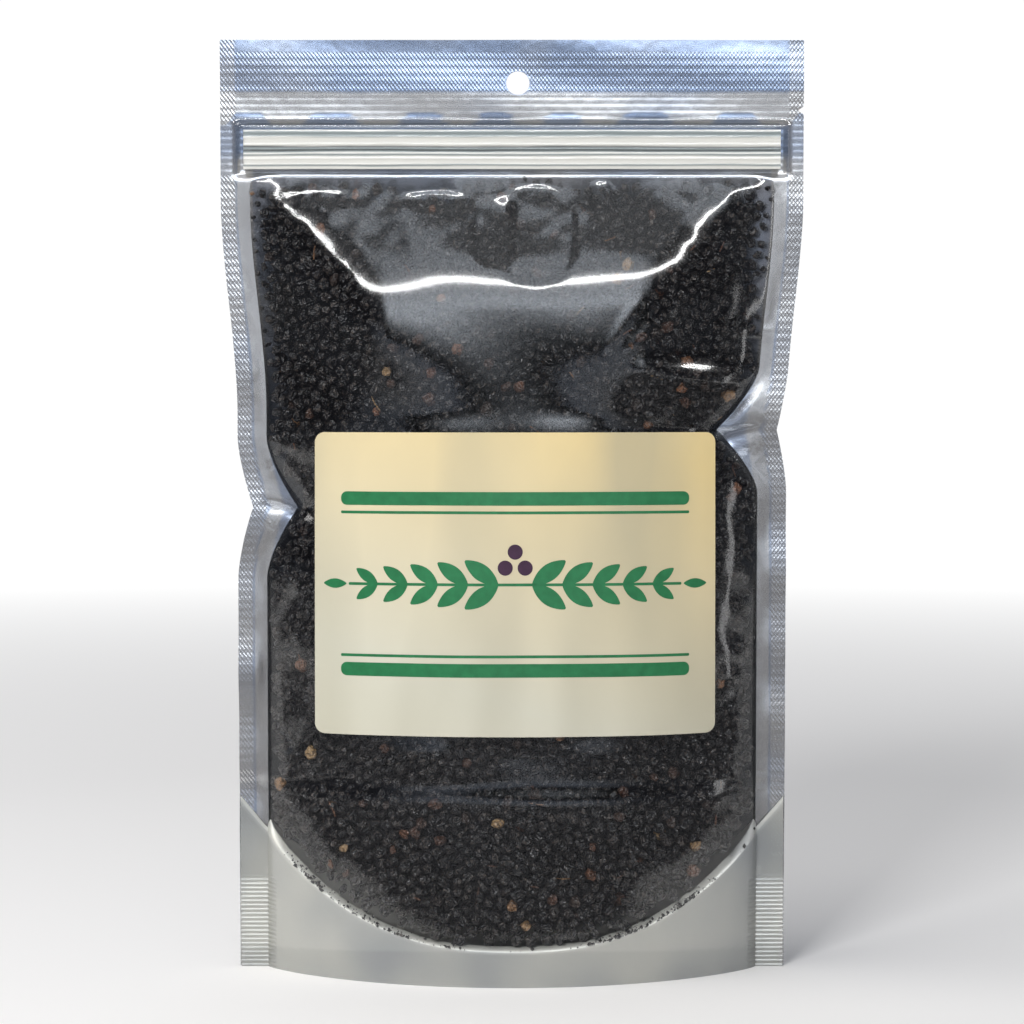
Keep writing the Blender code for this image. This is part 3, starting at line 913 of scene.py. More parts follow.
@dataclass
class WebRelief:
    """What makes the film uneven: slack waves, folds, the ridge along the gusset seal and
    the ribs of the header. Heights are outwards from the pouch."""

    form: PouchForm
    seed: int
    swell: float = 0.00026
    swell_length: float = 0.038
    crinkle: float = 0.00008
    crinkle_length: float = 0.011
    crinkle_level: float = 0.8
    seal_ripple: float = 0.00030
    ripple_length: float = 0.022
    arch_ridge: float = 0.00025
    arch_ridge_above: float = 0.0006
    arch_ridge_width: float = 0.0007
    rib_height: float = 0.00001
    rib_pitch: float = 0.00166
    rib_top: float = 0.2375
    header_low: float = 0.2190
    folds: tuple[Fold | Patch, ...] = ()
    header_sway: float = 0.00013
    header_sway_length: float = 0.024
    header_sway_seed: int = 61
    label_held: float = 0.8
    label_fade: float = 0.005
    facing: int = -1
    flat_middle: tuple[float, float] = (0.0, 0.0)
    flat_size: tuple[float, float] = (0.0, 0.0)

    def stuck(self, x: Array, z: Array) -> Array:
        """1 where a label holds the film flat, falling to 0 some millimetres outside it."""
        if not self.flat_size[0]:
            return 0.0 * x
        over = np.abs(x - self.flat_middle[0]) - self.flat_size[0] / 2
        up = np.abs(z - self.flat_middle[1]) - self.flat_size[1] / 2
        return 1.0 - smooth_step(np.maximum(over, up) / self.label_fade)

    def header(self, x: Array, z: Array) -> Array:
        """Relief of the header: a slow sway that both webs share, and level ribs."""
        rows = smooth_step((z - self.header_low) / 0.002)
        ribs = np.sin(2.0 * math.pi * z / self.rib_pitch) * smooth_step((self.rib_top - z) / 0.001)
        seed, length = self.header_sway_seed, self.header_sway_length
        sway = self.header_sway * waves(0.55 * x, 1.3 * z, length, seed, 10)
        return rows * (self.facing * sway + self.rib_height * ribs)

    def at(self, x: Array, z: Array) -> Array:
        """Relief at each point: waves that fade out at the hem, the header and under the
        label, ripples in the side seals, folds, a ridge on the gusset seal, and the header's.

        Args:
            x: Place across the pouch.
            z: Height.

        Returns:
            The height outwards, in metres.
        """
        form = self.form
        pocket = form.pocket_beside(x, z)
        inner = smooth_step((pocket - np.abs(x)) / 0.006)
        body = inner * smooth_step(z / 0.030) * smooth_step((form.shoulder_foot - z) / 0.006)
        body *= 1.0 - self.label_held * self.stuck(x, z)
        total = body * self.swell * waves(x, z, self.swell_length, self.seed)
        ridged = np.abs(waves(x, z, self.crinkle_length, self.seed + 1)) - self.crinkle_level
        beside = smooth_step(np.abs(x) / pocket * 2.2 - 1.0)
        above = smooth_step((z - 0.186) / 0.006)
        total -= body * self.crinkle * ridged * (0.10 + 0.9 * np.maximum(beside, above))
        sealed = smooth_step((np.abs(x) - pocket) / 0.003) * smooth_step(z / 0.03)
        sealed *= smooth_step((form.shoulder_foot - z) / 0.01)
        total += self.seal_ripple * sealed * waves(0.3 * x, z, self.ripple_length, self.seed + 2, 8)
        for fold in self.folds:
            total += fold.at(x, z)
        risen = (z - form.seal_arch(x) - self.arch_ridge_above) / self.arch_ridge_width
        total += self.arch_ridge * np.exp(-(risen**2)) * inner
        return total + self.header(x, z)


@dataclass
class SealMasks:
    """Where each kind of embossing lies on a web."""

    form: PouchForm
    strip: float = 0.0042
    header_low: float = 0.2265
    header_high: float = 0.2372
    ribs_low: float = 0.2150
    ribs_high: float = 0.2272
    scallop_high: float = 0.0062
    scallop: float = 0.0032
    scallop_pitch: float = 0.0202
    crimp_top: float = 0.024
    crimp_width: float = 0.0100
    zip_reach: float = 0.008
    fade: float = 0.0008

    def edge_distance(self, x: Array, z: Array) -> Array:
        """Distance in from the side edge."""
        edge = np.where(x < 0, self.form.side_edge(z, -1), self.form.side_edge(z, 1))
        return edge - np.abs(x)

    def scallop_line(self, x: Array) -> Array:
        """Height of the header seal's wavy lower edge."""
        turns = 2.0 * math.pi * x / self.scallop_pitch + 0.8 * np.sin(x / 0.013)
        lobe = smooth_step(0.5 + 0.9 * np.sin(turns))
        return self.ribs_low + self.scallop_high - self.scallop * lobe

    def beside_zip(self, z: Array) -> Array:
        """1 at the heights of the zip."""
        return smooth_step((self.zip_reach - np.abs(z - self.form.zip_height)) / 0.002)

    def diamonds(self, x: Array, z: Array) -> Array:
        """Diamond hatch: the header's upper seal and a strip down each side."""
        header = smooth_step((z - self.header_low) / self.fade)
        header = header * smooth_step((self.header_high - z) / self.fade)
        strip = smooth_step((self.strip - self.edge_distance(x, z)) / 0.0006)
        strip *= smooth_step((z - self.crimp_top - 0.003) / 0.003)
        return np.maximum(header, strip * (1.0 - self.beside_zip(z)))

    def ribs(self, x: Array, z: Array) -> Array:
        """Level ribs: under the header's diamonds down to the scalloped line, and beside
        the zip."""
        header = smooth_step((self.header_low - z) / self.fade)
        header = header * smooth_step((z - self.scallop_line(x)) / self.fade)
        beside = smooth_step((self.form.seal_width + 0.001 - self.edge_distance(x, z)) / 0.001)
        return np.maximum(header, beside * self.beside_zip(z))

    def crimp(self, x: Array, z: Array) -> Array:
        """Fine ribs pressed into the two bottom corners."""
        corner = smooth_step((self.crimp_width - self.edge_distance(x, z)) / 0.0005)
        return corner * smooth_step((self.crimp_top - z) / 0.0010)

    def warmth(self, x: Array, z: Array) -> Array:
        """How warm the silver looks: bluish, a painted reflection of a blue room, in the header's diamonds
        and in the open gaps under its scallops, greyer in the side seals, warm in the ribs, the skirt and
        the smooth strip inside each side seal."""
        edge = self.edge_distance(x, z)
        lobes = smooth_step((z - self.scallop_line(x)) / 0.0006)
        lobes = lobes * smooth_step((self.ribs_high - z) / 0.001)
        skirt = smooth_step((self.form.seal_arch(x) - z) / self.fade)
        sides = smooth_step((self.strip - edge) / self.fade)
        body = smooth_step((self.form.zip_height - z) / 0.004)
        inner = smooth_step((edge - self.strip) / 0.0006)
        inner *= body * smooth_step((self.form.seal_width + 0.001 - edge) / 0.001)
        warm = 1.0 * lobes + 0.9 * skirt + 0.45 * sides + 0.45 * body + 0.9 * inner
        return np.clip(warm, 0.0, 1.3)

    def skirt(self, x: Array, z: Array) -> Array:
        """Painted shade: 1 in the skirt under the gusset seal, and more in the band along the hem, where
        the film is darkened towards its shadow colour.
        """
        across = np.clip(np.abs(x) / (self.form.width / 2), 0.0, 1.0)
        hem = 0.0045 + 0.0050 * (1.0 - across**2)
        band = smooth_step((hem - z) / 0.0006)
        return smooth_step((self.form.seal_arch(x) - z) / self.fade) * (1.0 + 0.45 * band)


@dataclass
class FilmWeb:
    """The front or the back web of the pouch, from its hem to the top of its header."""

    form: PouchForm
    side: Side
    relief: WebRelief
    masks: SealMasks
    thickness: float = 0.00012
    columns: int = 170
    seal_columns: int = 11
    notch_height: float = 0.222
    notch_depth: float = 0.0016
    notch_half_height: float = 0.0010
    notch_reach: float = 0.004
    hole_radius: float = 0.003
    hole_sides: int = 48
    hole_at: tuple[float, float] = (0.0015, 0.229)
    pressed_width: float = 0.0112
    zones: tuple[tuple[float, float, int], ...] = (
        (0.0, 0.200, 160),
        (0.200, 0.2205, 36),
        (0.2205, 0.2235, 9),
    )
    top_rows: int = 44

    def heights(self) -> Array:
        """Rows: close in the header and about 1.2 mm apart in the body."""
        rows = [np.linspace(low, high, steps, endpoint=False) for low, high, steps in self.zones]
        top = np.linspace(self.zones[-1][1], self.form.height, self.top_rows)
        return np.concatenate([*rows, top])

    def outer_face(self, x: Array, z: Array) -> Array:
        """Distance of the outer face from the middle plane: the CAD web's outer face, with
        the relief on it."""
        return self.form.inside(x, z) + self.form.film + self.relief.at(x, z)

    def surface(self) -> tuple[Array, Array, Array]:
        """x, z and the outer face's distance, over the whole grid, with the tear notch as
        a small V in the right edge."""
        rows = self.heights()
        x = self.form.web_columns(rows, self.columns, self.seal_columns)
        z = rows[:, None] + 0.0 * x
        notch = np.clip(1.0 - np.abs(z - self.notch_height) / self.notch_half_height, 0.0, 1.0)
        reach = self.notch_reach
        outer = smooth_step((x - (self.form.width / 2 - reach)) / reach)
        return x - self.notch_depth * notch * outer, z, self.outer_face(x, z)

    def cut_hole(self, piece: Piece) -> None:
        """Punches the round hang hole with a Boolean, which is applied."""
        mesh = bpy.data.meshes.new("punch")
        shape = bmesh.new()
        radius = self.hole_radius
        bmesh.ops.create_cone(
            shape,
            cap_ends=True,
            segments=self.hole_sides,
            radius1=radius,
            radius2=radius,
            depth=0.02,
        )
        shape.to_mesh(mesh)
        shape.free()
        punch = bpy.data.objects.new("punch", mesh)
        bpy.context.scene.collection.objects.link(punch)
        punch.location = (self.hole_at[0], 0.0, self.hole_at[1])
        punch.rotation_euler = (math.pi / 2, 0.0, 0.0)
        cut = piece.modifiers.new("hang_hole", "BOOLEAN")
        cut.operation, cut.object, cut.solver = "DIFFERENCE", punch, "MANIFOLD"
        bpy.context.view_layer.update()
        graph = bpy.context.evaluated_depsgraph_get()
        cut_mesh = bpy.data.meshes.new_from_object(piece.evaluated_get(graph))
        piece.modifiers.clear()
        piece.data = cut_mesh
        bpy.data.objects.remove(punch)

    def share_faces(self, piece: Piece, plain: Material) -> None:
        """Gives the plain material to the faces over the pocket, inside all embossing."""
        piece.data.materials.append(plain)
        middles = np.empty(3 * len(piece.data.polygons), dtype=np.float32)
        piece.data.polygons.foreach_get("center", middles)
        x, _, z = middles.reshape(-1, 3).T
        clear = self.masks.edge_distance(x, z) > self.pressed_width
        clear &= z < self.masks.ribs_low
        piece.data.polygons.foreach_set("material_index", clear.astype(np.int32))

    def build(self, name: str, node: str, slot: str, finish: Material,
              plain: Material | None = None) -> Piece:
        """Makes the web, stores its masks and punches its hole.

        Args:
            name: Name of the piece.
            node: The CAD node that it stands for.
            slot: The record's material slot; not used.
            finish: Its material.
            plain: Material of the faces with no embossing, where that differs. Such a web is
                so clear that neither shadows nor matt surfaces show it.

        Returns:
            The new object.
        """
        x, z, outer = self.surface()
        facing = self.side.value
        one = stacked(x, facing * outer, z)
        other = stacked(x, facing * (outer - self.thickness), z)
        piece = sheet(name, one, other, finish)
        masks = self.masks
        stored = (masks.diamonds, masks.ribs, masks.crimp, masks.warmth, masks.skirt)
        for key, mask in zip(("diamonds", "ribs", "crimp", "warm", "shade"), stored):
            set_mask(piece, key, mask(x, z))
        if plain:
            self.share_faces(piece, plain)
        self.cut_hole(piece)
        piece.visible_shadow = piece.visible_diffuse = plain is None
        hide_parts(node)
        return piece


@dataclass
class Gusset:
    """The bottom web: two leaves inside the skirts and the sagging floor between them,
    which first leans back a little from each seal and then turns down."""

    form: PouchForm
    masks: SealMasks
    thickness: float = 0.00012
    columns: int = 130
    leaf_rows: int = 30
    floor_rows: int = 64
    lip_rise: float = 0.0044
    lip_depth: float = 0.0026
    lip_more_at_sides: float = 0.3
    ripple: float = 0.00025
    ripple_length: float = 0.012
    leaf_warmth: float = 0.6

    def build(self, finish: Material) -> Piece:
        """Makes the gusset: up the front leaf, over the floor and down the back leaf, as a
        sheet of even thickness along its normals.

        Args:
            finish: Its material.

        Returns:
            The new object.
        """
        form = self.form
        x = form.web_columns(np.array([form.gusset_rise / 2]), self.columns, 8, inset=0.0004)[0]
        arch = form.seal_arch(x)
        rise = np.linspace(0.0, 1.0, self.leaf_rows)[:, None] * arch[None, :]
        leaf = form.leaf_middle(x[None, :], rise)
        front, back = stacked(x[None, :], -leaf, rise), stacked(x[None, :], leaf, rise)[::-1]
        across = np.sin(np.linspace(-math.pi / 2, math.pi / 2, self.floor_rows))[1:-1, None]
        y = across * form.leaf_middle(x, arch)[None, :]
        height = form.gusset_height(x[None, :], y)
        ripple = self.ripple * np.abs(waves(x[None, :] + 0.0 * y, y, self.ripple_length, 71))
        ripple = ripple * np.cos(across * math.pi / 2)
        inward = (form.leaf_middle(x, arch)[None, :] - np.abs(y)) / self.lip_depth
        beside = smooth_step(np.abs(x) / 0.05 - 0.3)
        lip = self.lip_rise * (1.0 + self.lip_more_at_sides * beside)[None, :]
        lip = lip * np.clip(inward, 0.0, 1.0) ** 0.8 * (1.0 - smooth_step((inward - 1.0) / 1.5))
        height = height + lip
        floor = stacked(x[None, :], y, height + ripple * smooth_step((height - 0.0004) / 0.003))
        middle = np.concatenate([front, floor, back])
        normal = normals_of(middle)
        normal[0], normal[-1] = (0, -1, 0), (0, 1, 0)
        half = normal * self.thickness / 2
        piece = sheet("gusset_web", middle - half, middle + half, finish)
        set_mask(piece, "diamonds", np.zeros(middle.shape[:2]))
        set_mask(piece, "ribs", np.zeros(middle.shape[:2]))
        set_mask(piece, "crimp", self.masks.crimp(middle[..., 0], middle[..., 2]))
        leaves = np.ones(middle.shape[:2])
        leaves[self.leaf_rows : -self.leaf_rows] = 0.0
        set_mask(piece, "warm", 1.0 + (self.leaf_warmth - 1.0) * leaves)
        # Painted shade on the leaves seen through the clear front, from the skirt's mask.
        set_mask(piece, "shade", leaves * self.masks.skirt(middle[..., 0], middle[..., 2]))
        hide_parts("gusset_film")
        return piece


# ---------------------------------------------------------------- the zip


@dataclass
class ZipTrack:
    """The two extruded strips of the zip, each with its flange, ridges and rib or lips."""

    form: PouchForm
    stations: int = 90
    flange: float = 0.00040
    ridge: float = 0.00022
    waviness: float = 0.00008
    flange_rows: int = 41
    ridges_at: tuple[float, ...] = (0.0044, 0.0031, 0.0012, 0.0, -0.0012, -0.0024, -0.0040)
    ridge_width: float = 0.00022
    rib_half: float = 0.0004
    lip_in: float = 0.0007
    lip_out: float = 0.0013
    half_height: float = 0.006

    def outer_ridges(self, z: Array) -> Array:
        """Fine ridges along the flange, like the guide ribs beside a real track: narrow
        bells at set distances from the zip's middle line."""
        away = z - self.form.zip_height
        bells = [np.exp(-(((away - at) / self.ridge_width) ** 2)) for at in self.ridges_at]
        return self.ridge * np.sum(bells, axis=0)

    def track(self, inner: float, low: float, high: float, is_rib: bool) -> list[tuple[float, float]]:
        """The raised part of a strip's section, as (y, z) points from the top down.

        Args:
            inner: The flange's inner face.
            low: The near side of the strip's box.
            high: The far side of it.
            is_rib: Whether it is the rib, rather than the two lips.

        Returns:
            The points.
        """
        middle, rib, chamfer = self.form.zip_height, self.rib_half, 0.0002
        if is_rib:
            head = -high
            upper = [(inner, rib), (head + chamfer, rib), (head, chamfer)]
        else:
            upper = [(inner, self.lip_out), (low, self.lip_out)]
            upper += [(low, self.lip_in), (inner, self.lip_in)]
        lower = [(y, -z) for y, z in upper[::-1]]
        return [(y, middle + z) for y, z in upper + lower]

    def strip(self, name: str, node: str, finish: Material) -> Piece:
        """One strip: its (y, z) section carried along X, with a slight wave.

        Args:
            name: Name of the piece.
            node: The CAD strip, which gives its place and which half it is.
            finish: Its material.

        Returns:
            The new object.
        """
        low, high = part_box(node)
        is_rib = node == "zip_rib_strip"
        back, facing = (-low[1], -1.0) if is_rib else (high[1], 1.0)
        z_out = np.linspace(low[2], high[2], self.flange_rows)
        outer = back - self.ridge + self.outer_ridges(z_out)
        inner = back - self.flange
        raised = self.track(inner, low[1], high[1], is_rib)
        inside = [(inner, high[2])] + raised + [(inner, low[2])]
        section = np.array(list(zip(outer, z_out)) + inside)
        along = np.linspace(low[0], high[0], self.stations)
        sway = self.waviness * waves(along, 0.0 * along, 0.035, 55, 6)
        y = facing * section[None, :, 0] + 0.0 * along[:, None]
        held = 1.0 - np.abs(section[None, :, 1] - self.form.zip_height) / self.half_height
        z = section[None, :, 1] + sway[:, None] * held
        rings = stacked(along[:, None], y, z)
        count = section.shape[0]
        ends = [rings[0].mean(0)[None], rings[-1].mean(0)[None]]
        points = np.concatenate([rings.reshape(-1, 3), *ends])
        sides = grid_quads(self.stations, count, closed=True)
        ring = np.arange(count)
        after = np.roll(ring, -1)
        first, last = self.stations * count, self.stations * count + 1
        end = (self.stations - 1) * count
        caps = [np.stack([np.full(count, first), after, ring], axis=-1)]
        caps.append(np.stack([np.full(count, last), end + ring, end + after], axis=-1))
        split = [sides[:, [0, 1, 2]], sides[:, [0, 2, 3]]]
        piece = new_piece(name, points, np.concatenate(split + caps), finish)
        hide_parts(node)
        return piece


# ---------------------------------------------------------------- the fill


@dataclass
class BerryShapes:
    """A few wrinkled berry shapes: a sphere of 80 faces, dented along seeded directions."""

    kinds: int = 9
    seed: int = 5
    furthest: float = 1.10

    def base(self) -> tuple[Array, Array]:
        """Points and triangles of a unit sphere."""
        shape = bmesh.new()
        bmesh.ops.create_icosphere(shape, subdivisions=2, radius=1.0)
        shape.verts.ensure_lookup_table()
        points = np.array([vert.co[:] for vert in shape.verts])
        faces = np.array([[vert.index for vert in face.verts] for face in shape.faces])
        shape.free()
        return points, faces

    def variants(self) -> tuple[Array, Array]:
        """Every kind's points, shaped (kinds, points, 3), and the triangles they share. A
        point moves in by the sum of a few seeded waves over the sphere, which pucker it, and
        none lies further out than the furthest reach."""
        points, faces = self.base()
        draw = np.random.default_rng(self.seed)
        made = []
        for _ in range(self.kinds):
            dents = draw.normal(size=(4, 3)) * draw.uniform(1.6, 3.0, (4, 1))
            phases = draw.uniform(0.0, 2.0 * math.pi, 4)
            pucker = np.abs(np.sin(points @ dents.T + phases)).mean(axis=1)
            radius = 1.20 - 0.75 * (pucker - pucker.min()) + draw.normal(0.0, 0.085, len(points))
            squash = draw.uniform((0.94, 0.78, 0.66), (1.22, 1.0, 0.90))
            shape = points * radius[:, None] * squash
            reach = np.linalg.norm(shape, axis=1, keepdims=True)
            made.append(shape * np.minimum(1.0, self.furthest / reach))
        return np.array(made), faces


@dataclass
class BerryFill:
    """The loose dried berries: two layers against the clear film, and a dark lumpy core."""

    form: PouchForm
    shapes: BerryShapes
    film: FilmWeb
    radius: float = 0.00163
    radius_spread: float = 0.00029
    top: float = 0.2030
    top_unevenness: float = 0.0011
    clearance: float = 0.00012
    floor_rise: float = 0.0026
    floor_more_at_sides: float = 0.0022
    side_gap: float = 0.0004
    least_radius: float = 0.0007
    tightness: float = 0.97
    past_back: float = 0.0012

    def floor_line(self, x: Array) -> Array:
        """Lowest height of a berry's middle: above the gusset seal, further at the sides,
        where the pocket narrows to a wedge."""
        across = np.abs(x) / (self.form.width / 2)
        sides = smooth_step((across - 0.25) / 0.5)
        return self.form.seal_arch(x) + self.floor_rise + self.floor_more_at_sides * sides

    def top_line(self, x: Array) -> Array:
        """Height of the highest berries, a little uneven."""
        return self.top + self.top_unevenness * waves(x, 0.0 * x, 0.030, 31, 6)

    def side_line(self, z: Array, side: int) -> Array:
        """Half width of the fill, just short of the side seal."""
        return self.form.pocket_edge(z, side) - self.side_gap

    def film_point(self, x: Array, z: Array) -> tuple[Array, Array]:
        """A point of the film's inner face and the unit normal into the pouch, from the
        slopes of that face by small differences."""
        step = 0.0008

        def face(a: Array, b: Array) -> Array:
            """Distance of the film's inner face."""
            return self.film.outer_face(a, b) - self.film.thickness

        here = face(x, z)
        slope_x = (face(x + step, z) - face(x - step, z)) / (2 * step)
        slope_z = (face(x, z + step) - face(x, z - step)) / (2 * step)
        normal = stacked(slope_x, np.ones_like(here), slope_z)
        normal /= np.linalg.norm(normal, axis=-1, keepdims=True)
        return stacked(x, -here, z), normal

    def clamp(self, spots: Array) -> Array:
        """Keeps (x, z) spots inside the fill's outline."""
        x, z = spots[:, 0], spots[:, 1]
        x = np.clip(x, -self.side_line(z, -1), self.side_line(z, 1))
        z = np.clip(z, self.floor_line(x), self.top_line(x))
        return np.stack([x, z], axis=-1)

    def scatter(self, spacing: float, seed: int, rounds: int = 22) -> tuple[Array, Array]:
        """Spots of one layer: a hexagonal lattice, jittered, then pushed apart for some
        rounds wherever two berries are closer on the film than their radii allow.

        Args:
            spacing: Distance between neighbours in the first lattice.
            seed: Seed of the jitter and the sizes.
            rounds: Rounds of pushing.

        Returns:
            The (x, z) spots and each berry's radius.
        """
        draw = np.random.default_rng(seed)
        half = self.form.width / 2
        rows = np.arange(0.0, self.top + 0.004, spacing * math.sqrt(3.0) / 2.0)
        columns = np.arange(-half, half, spacing)
        x, z = np.meshgrid(columns, rows)
        x = x + spacing / 2.0 * (np.arange(len(rows)) % 2)[:, None]
        spots = np.stack([x.ravel(), z.ravel()], axis=-1)
        spots += draw.uniform(-0.55, 0.55, spots.shape) * spacing
        x, z = spots[:, 0], spots[:, 1]
        kept = (z > self.floor_line(x)) & (z < self.top_line(x))
        kept &= (x > -self.side_line(z, -1)) & (x < self.side_line(z, 1))
        spots = spots[kept]
        radii = self.radius + self.radius_spread * draw.normal(size=len(spots)).clip(-2.2, 2.2)
        for _ in range(rounds):
            x, z = spots.T
            on_film = stacked(x, -self.form.inside(x, z), z).astype(np.float32)
            apart = on_film[:, None, :] - on_film[None, :, :]
            away = np.sqrt((apart**2).sum(-1)) + 1e-9
            np.fill_diagonal(away, 1.0)
            near = (radii[:, None] + radii[None, :]) * self.tightness
            overlap = np.maximum(near - away, 0.0)
            push = (apart[..., [0, 2]] / away[..., None] * overlap[..., None]).sum(1)
            spots = self.clamp(spots + 0.42 * push)
        return spots, radii

    def tones(self, count: int, draw: np.random.Generator) -> Array:
        """One tone a berry: mostly dark, about one in twenty brown or tan."""
        tone = draw.beta(2.2, 2.4, count) * 0.90
        rare = draw.random(count)
        tone = np.where(rare > 0.950, draw.uniform(0.90, 0.965, count), tone)
        return np.where(rare > 0.986, draw.uniform(0.965, 1.0, count), tone)

    def placed(self, centres: Array, radii: Array,
               draw: np.random.Generator) -> tuple[Array, Array, Array]:
        """Berries of all kinds at their centres, each turned and sized by the draw.

        Args:
            centres: Where the berries lie.
            radii: How large they are.
            draw: The seeded generator.

        Returns:
            The points, the triangles and one tone a point.
        """
        variants, faces = self.shapes.variants()
        count, corners = len(centres), variants.shape[1]
        kind = draw.integers(0, len(variants), count)
        quaternion = draw.normal(size=(count, 4))
        w, i, j, k = (quaternion / np.linalg.norm(quaternion, axis=1, keepdims=True)).T
        turn = np.empty((count, 3, 3))
        turn[:, 0] = np.stack([1 - 2 * (j * j + k * k), 2 * (i * j - k * w), 2 * (i * k + j * w)], axis=-1)
        turn[:, 1] = np.stack([2 * (i * j + k * w), 1 - 2 * (i * i + k * k), 2 * (j * k - i * w)], axis=-1)
        turn[:, 2] = np.stack([2 * (i * k - j * w), 2 * (j * k + i * w), 1 - 2 * (i * i + j * j)], axis=-1)
        points = np.einsum("nij,npj->npi", turn, variants[kind] * radii[:, None, None])
        points = points + centres[:, None, :]
        triangles = faces[None, :, :] + corners * np.arange(count)[:, None, None]
        tone = np.repeat(self.tones(count, draw), corners)
        return points.reshape(-1, 3), triangles.reshape(-1, 3), tone

    def layer(self, names: tuple[str, ...], depth: float, spacing: float, seed: int,
              finish: Material) -> None:
        """One layer of berries, split into pieces from the bottom up. Where the pouch is
        thin they shrink and lie against its back, and where it is thinner still there are
        none.

        Args:
            names: Names of the pieces.
            depth: How far behind the film's berries the layer lies.
            spacing: Distance between neighbours.
            seed: Seed of the layer.
            finish: Its material.
        """
        draw = np.random.default_rng(seed + 100)
        spots, radii = self.scatter(spacing, seed)
        room = self.form.inside(spots[:, 0], spots[:, 1])
        radii = np.minimum(radii, 0.9 * room).clip(self.least_radius)
        face, inward = self.film_point(spots[:, 0], spots[:, 1])
        sunk = radii * self.tightness + self.clearance + depth + draw.uniform(0.0, 0.0005, len(radii))
        centres = face + inward * sunk[:, None]
        room = self.form.inside(centres[:, 0], centres[:, 2])
        furthest = room - self.shapes.furthest * radii - 2.0 * self.clearance
        fits = centres[:, 1] - furthest < self.past_back
        centres[:, 1] = np.minimum(centres[:, 1], furthest)
        spots, radii, centres = spots[fits], radii[fits], centres[fits]
        half = len(spots) // len(names) + 1
        order = np.argsort(spots[:, 1])
        for index, name in enumerate(names):
            part = order[index * half : (index + 1) * half]
            points, faces, tone = self.placed(centres[part], radii[part], draw)
            piece = new_piece(name, points, faces, finish, sharp=30.0)
            set_mask(piece, "tone", tone)
            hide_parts("dried_berries")

    def core(self, finish: Material) -> Piece:
        """What lies behind the layers: one closed lumpy body between the front layer and the
        back film, from the gusset to the top of the fill. Its lumps are noise of the
        berries' size."""
        rows, columns = 120, 100
        side_gap, front_gap, rear_gap, thinnest = 0.0070, 0.0048, 0.0012, 0.0004
        across = np.sin(np.linspace(-math.pi / 2, math.pi / 2, columns))[None, :]
        upwards = np.linspace(0.0, 1.0, rows)[:, None]
        guess = across * (self.form.width / 2 - self.form.draw_in - self.form.seal_width - side_gap)
        low = self.floor_line(guess) + 0.003
        z = low + upwards * (self.top - 0.005 - low)
        x = across * (self.form.pocket_beside(across, z) - side_gap)
        room = self.form.inside(x, z)
        lump = 0.0007 * waves(x, z, 0.0042, 91, 20)
        front = np.maximum(room - front_gap + lump, thinnest)
        rear = np.maximum(room - rear_gap + 0.5 * lump, thinnest)
        piece = sheet("fill_core", stacked(x, -front, z), stacked(x, rear, z), finish)
        set_mask(piece, "tone", np.clip(0.25 + 0.15 * waves(x, z, 0.006, 92), 0.02, 0.6))
        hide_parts("dried_berries")
        return piece

    def dust(self, finish: Material) -> Piece:
        """Crumbs in the wedge between the fill and the gusset seal, on the film's inside:
        small flattened eight-sided grains, thick along the seal at both sides."""
        draw = np.random.default_rng(44)
        count, reach = 2600, 0.064
        x = draw.uniform(-reach, reach, count)
        drift = smooth_step((np.abs(x) - 0.010) / 0.022) * smooth_step((0.060 - np.abs(x)) / 0.012)
        clumps = 0.35 + 0.65 * smooth_step(waves(x, 0.0 * x, 0.012, 45, 8))
        keep = draw.random(count) < (0.05 + 0.75 * drift) * clumps
        x = x[keep]
        low = self.form.seal_arch(x) + 0.0004
        z = low + draw.beta(0.8, 3.4, len(x)) * (self.floor_line(x) - low)
        face, inward = self.film_point(x, z)
        size = draw.gamma(2.0, 0.00009, len(x)).clip(0.00007, 0.0006)
        centres = face + inward * (size[:, None] * 0.6 + 0.0001)
        corner = np.array([[1, 0, 0], [-1, 0, 0], [0, 1, 0], [0, -1, 0], [0, 0, 1], [0, 0, -1]], float)
        around = np.array([[0, 2], [2, 1], [1, 3], [3, 0]])
        upper = np.column_stack([around, np.full(4, 4)])
        lower = np.column_stack([around[:, ::-1], np.full(4, 5)])
        faces = np.concatenate([upper, lower])
        stretch = draw.uniform((0.6, 0.4, 0.6), (1.4, 0.7, 1.4), (len(x), 3))
        points = corner[None] * (stretch * size[:, None])[:, None, :] + centres[:, None, :]
        triangles = faces[None] + 6 * np.arange(len(x))[:, None, None]
        piece = new_piece("berry_dust", points.reshape(-1, 3), triangles.reshape(-1, 3), finish)
        set_mask(piece, "tone", np.repeat(draw.uniform(0.0, 0.5, len(x)), 6))
        return piece

    def stalks(self, finish: Material) -> Piece:
        """Bits of dry stalk between the berries: short tapered five-sided sticks, each a
        profile carried along a slightly bent line."""
        draw = np.random.default_rng(47)
        count, rings, sides, reach = 46, 5, 5, 0.058
        x = draw.uniform(-reach, reach, count)
        low = self.floor_line(x)
        z = low + draw.uniform(0.02, 0.98, count) * (self.top - 0.004 - low)
        face, inward = self.film_point(x, z)
        centre = face + inward * 0.0011
        turn = draw.uniform(0.0, math.pi, count)
        tangent = stacked(np.cos(turn), 0.0 * turn, np.sin(turn))
        tangent -= inward * (tangent * inward).sum(-1, keepdims=True)
        tangent /= np.linalg.norm(tangent, axis=-1, keepdims=True)
        side = np.cross(inward, tangent)
        length = draw.uniform(0.0018, 0.0046, count)
        girth = draw.uniform(0.00014, 0.00026, count)
        along = np.linspace(-0.5, 0.5, rings)
        around = np.linspace(0.0, 2.0 * math.pi, sides, endpoint=False)
        bend = draw.uniform(-0.25, 0.25, count)
        path = centre[:, None] + tangent[:, None] * (along[None, :, None] * length[:, None, None])
        path = path + side[:, None] * (bend[:, None] * length[:, None] * (along[None] ** 2))[..., None]
        taper = (1.0 - 0.5 * np.abs(along * 2.0) ** 3)[None, :, None, None] * girth[:, None, None, None]
        ring = side[:, None, None] * np.cos(around)[None, None, :, None]
        ring = ring + inward[:, None, None] * np.sin(around)[None, None, :, None]
        points = path[:, :, None] + ring * taper
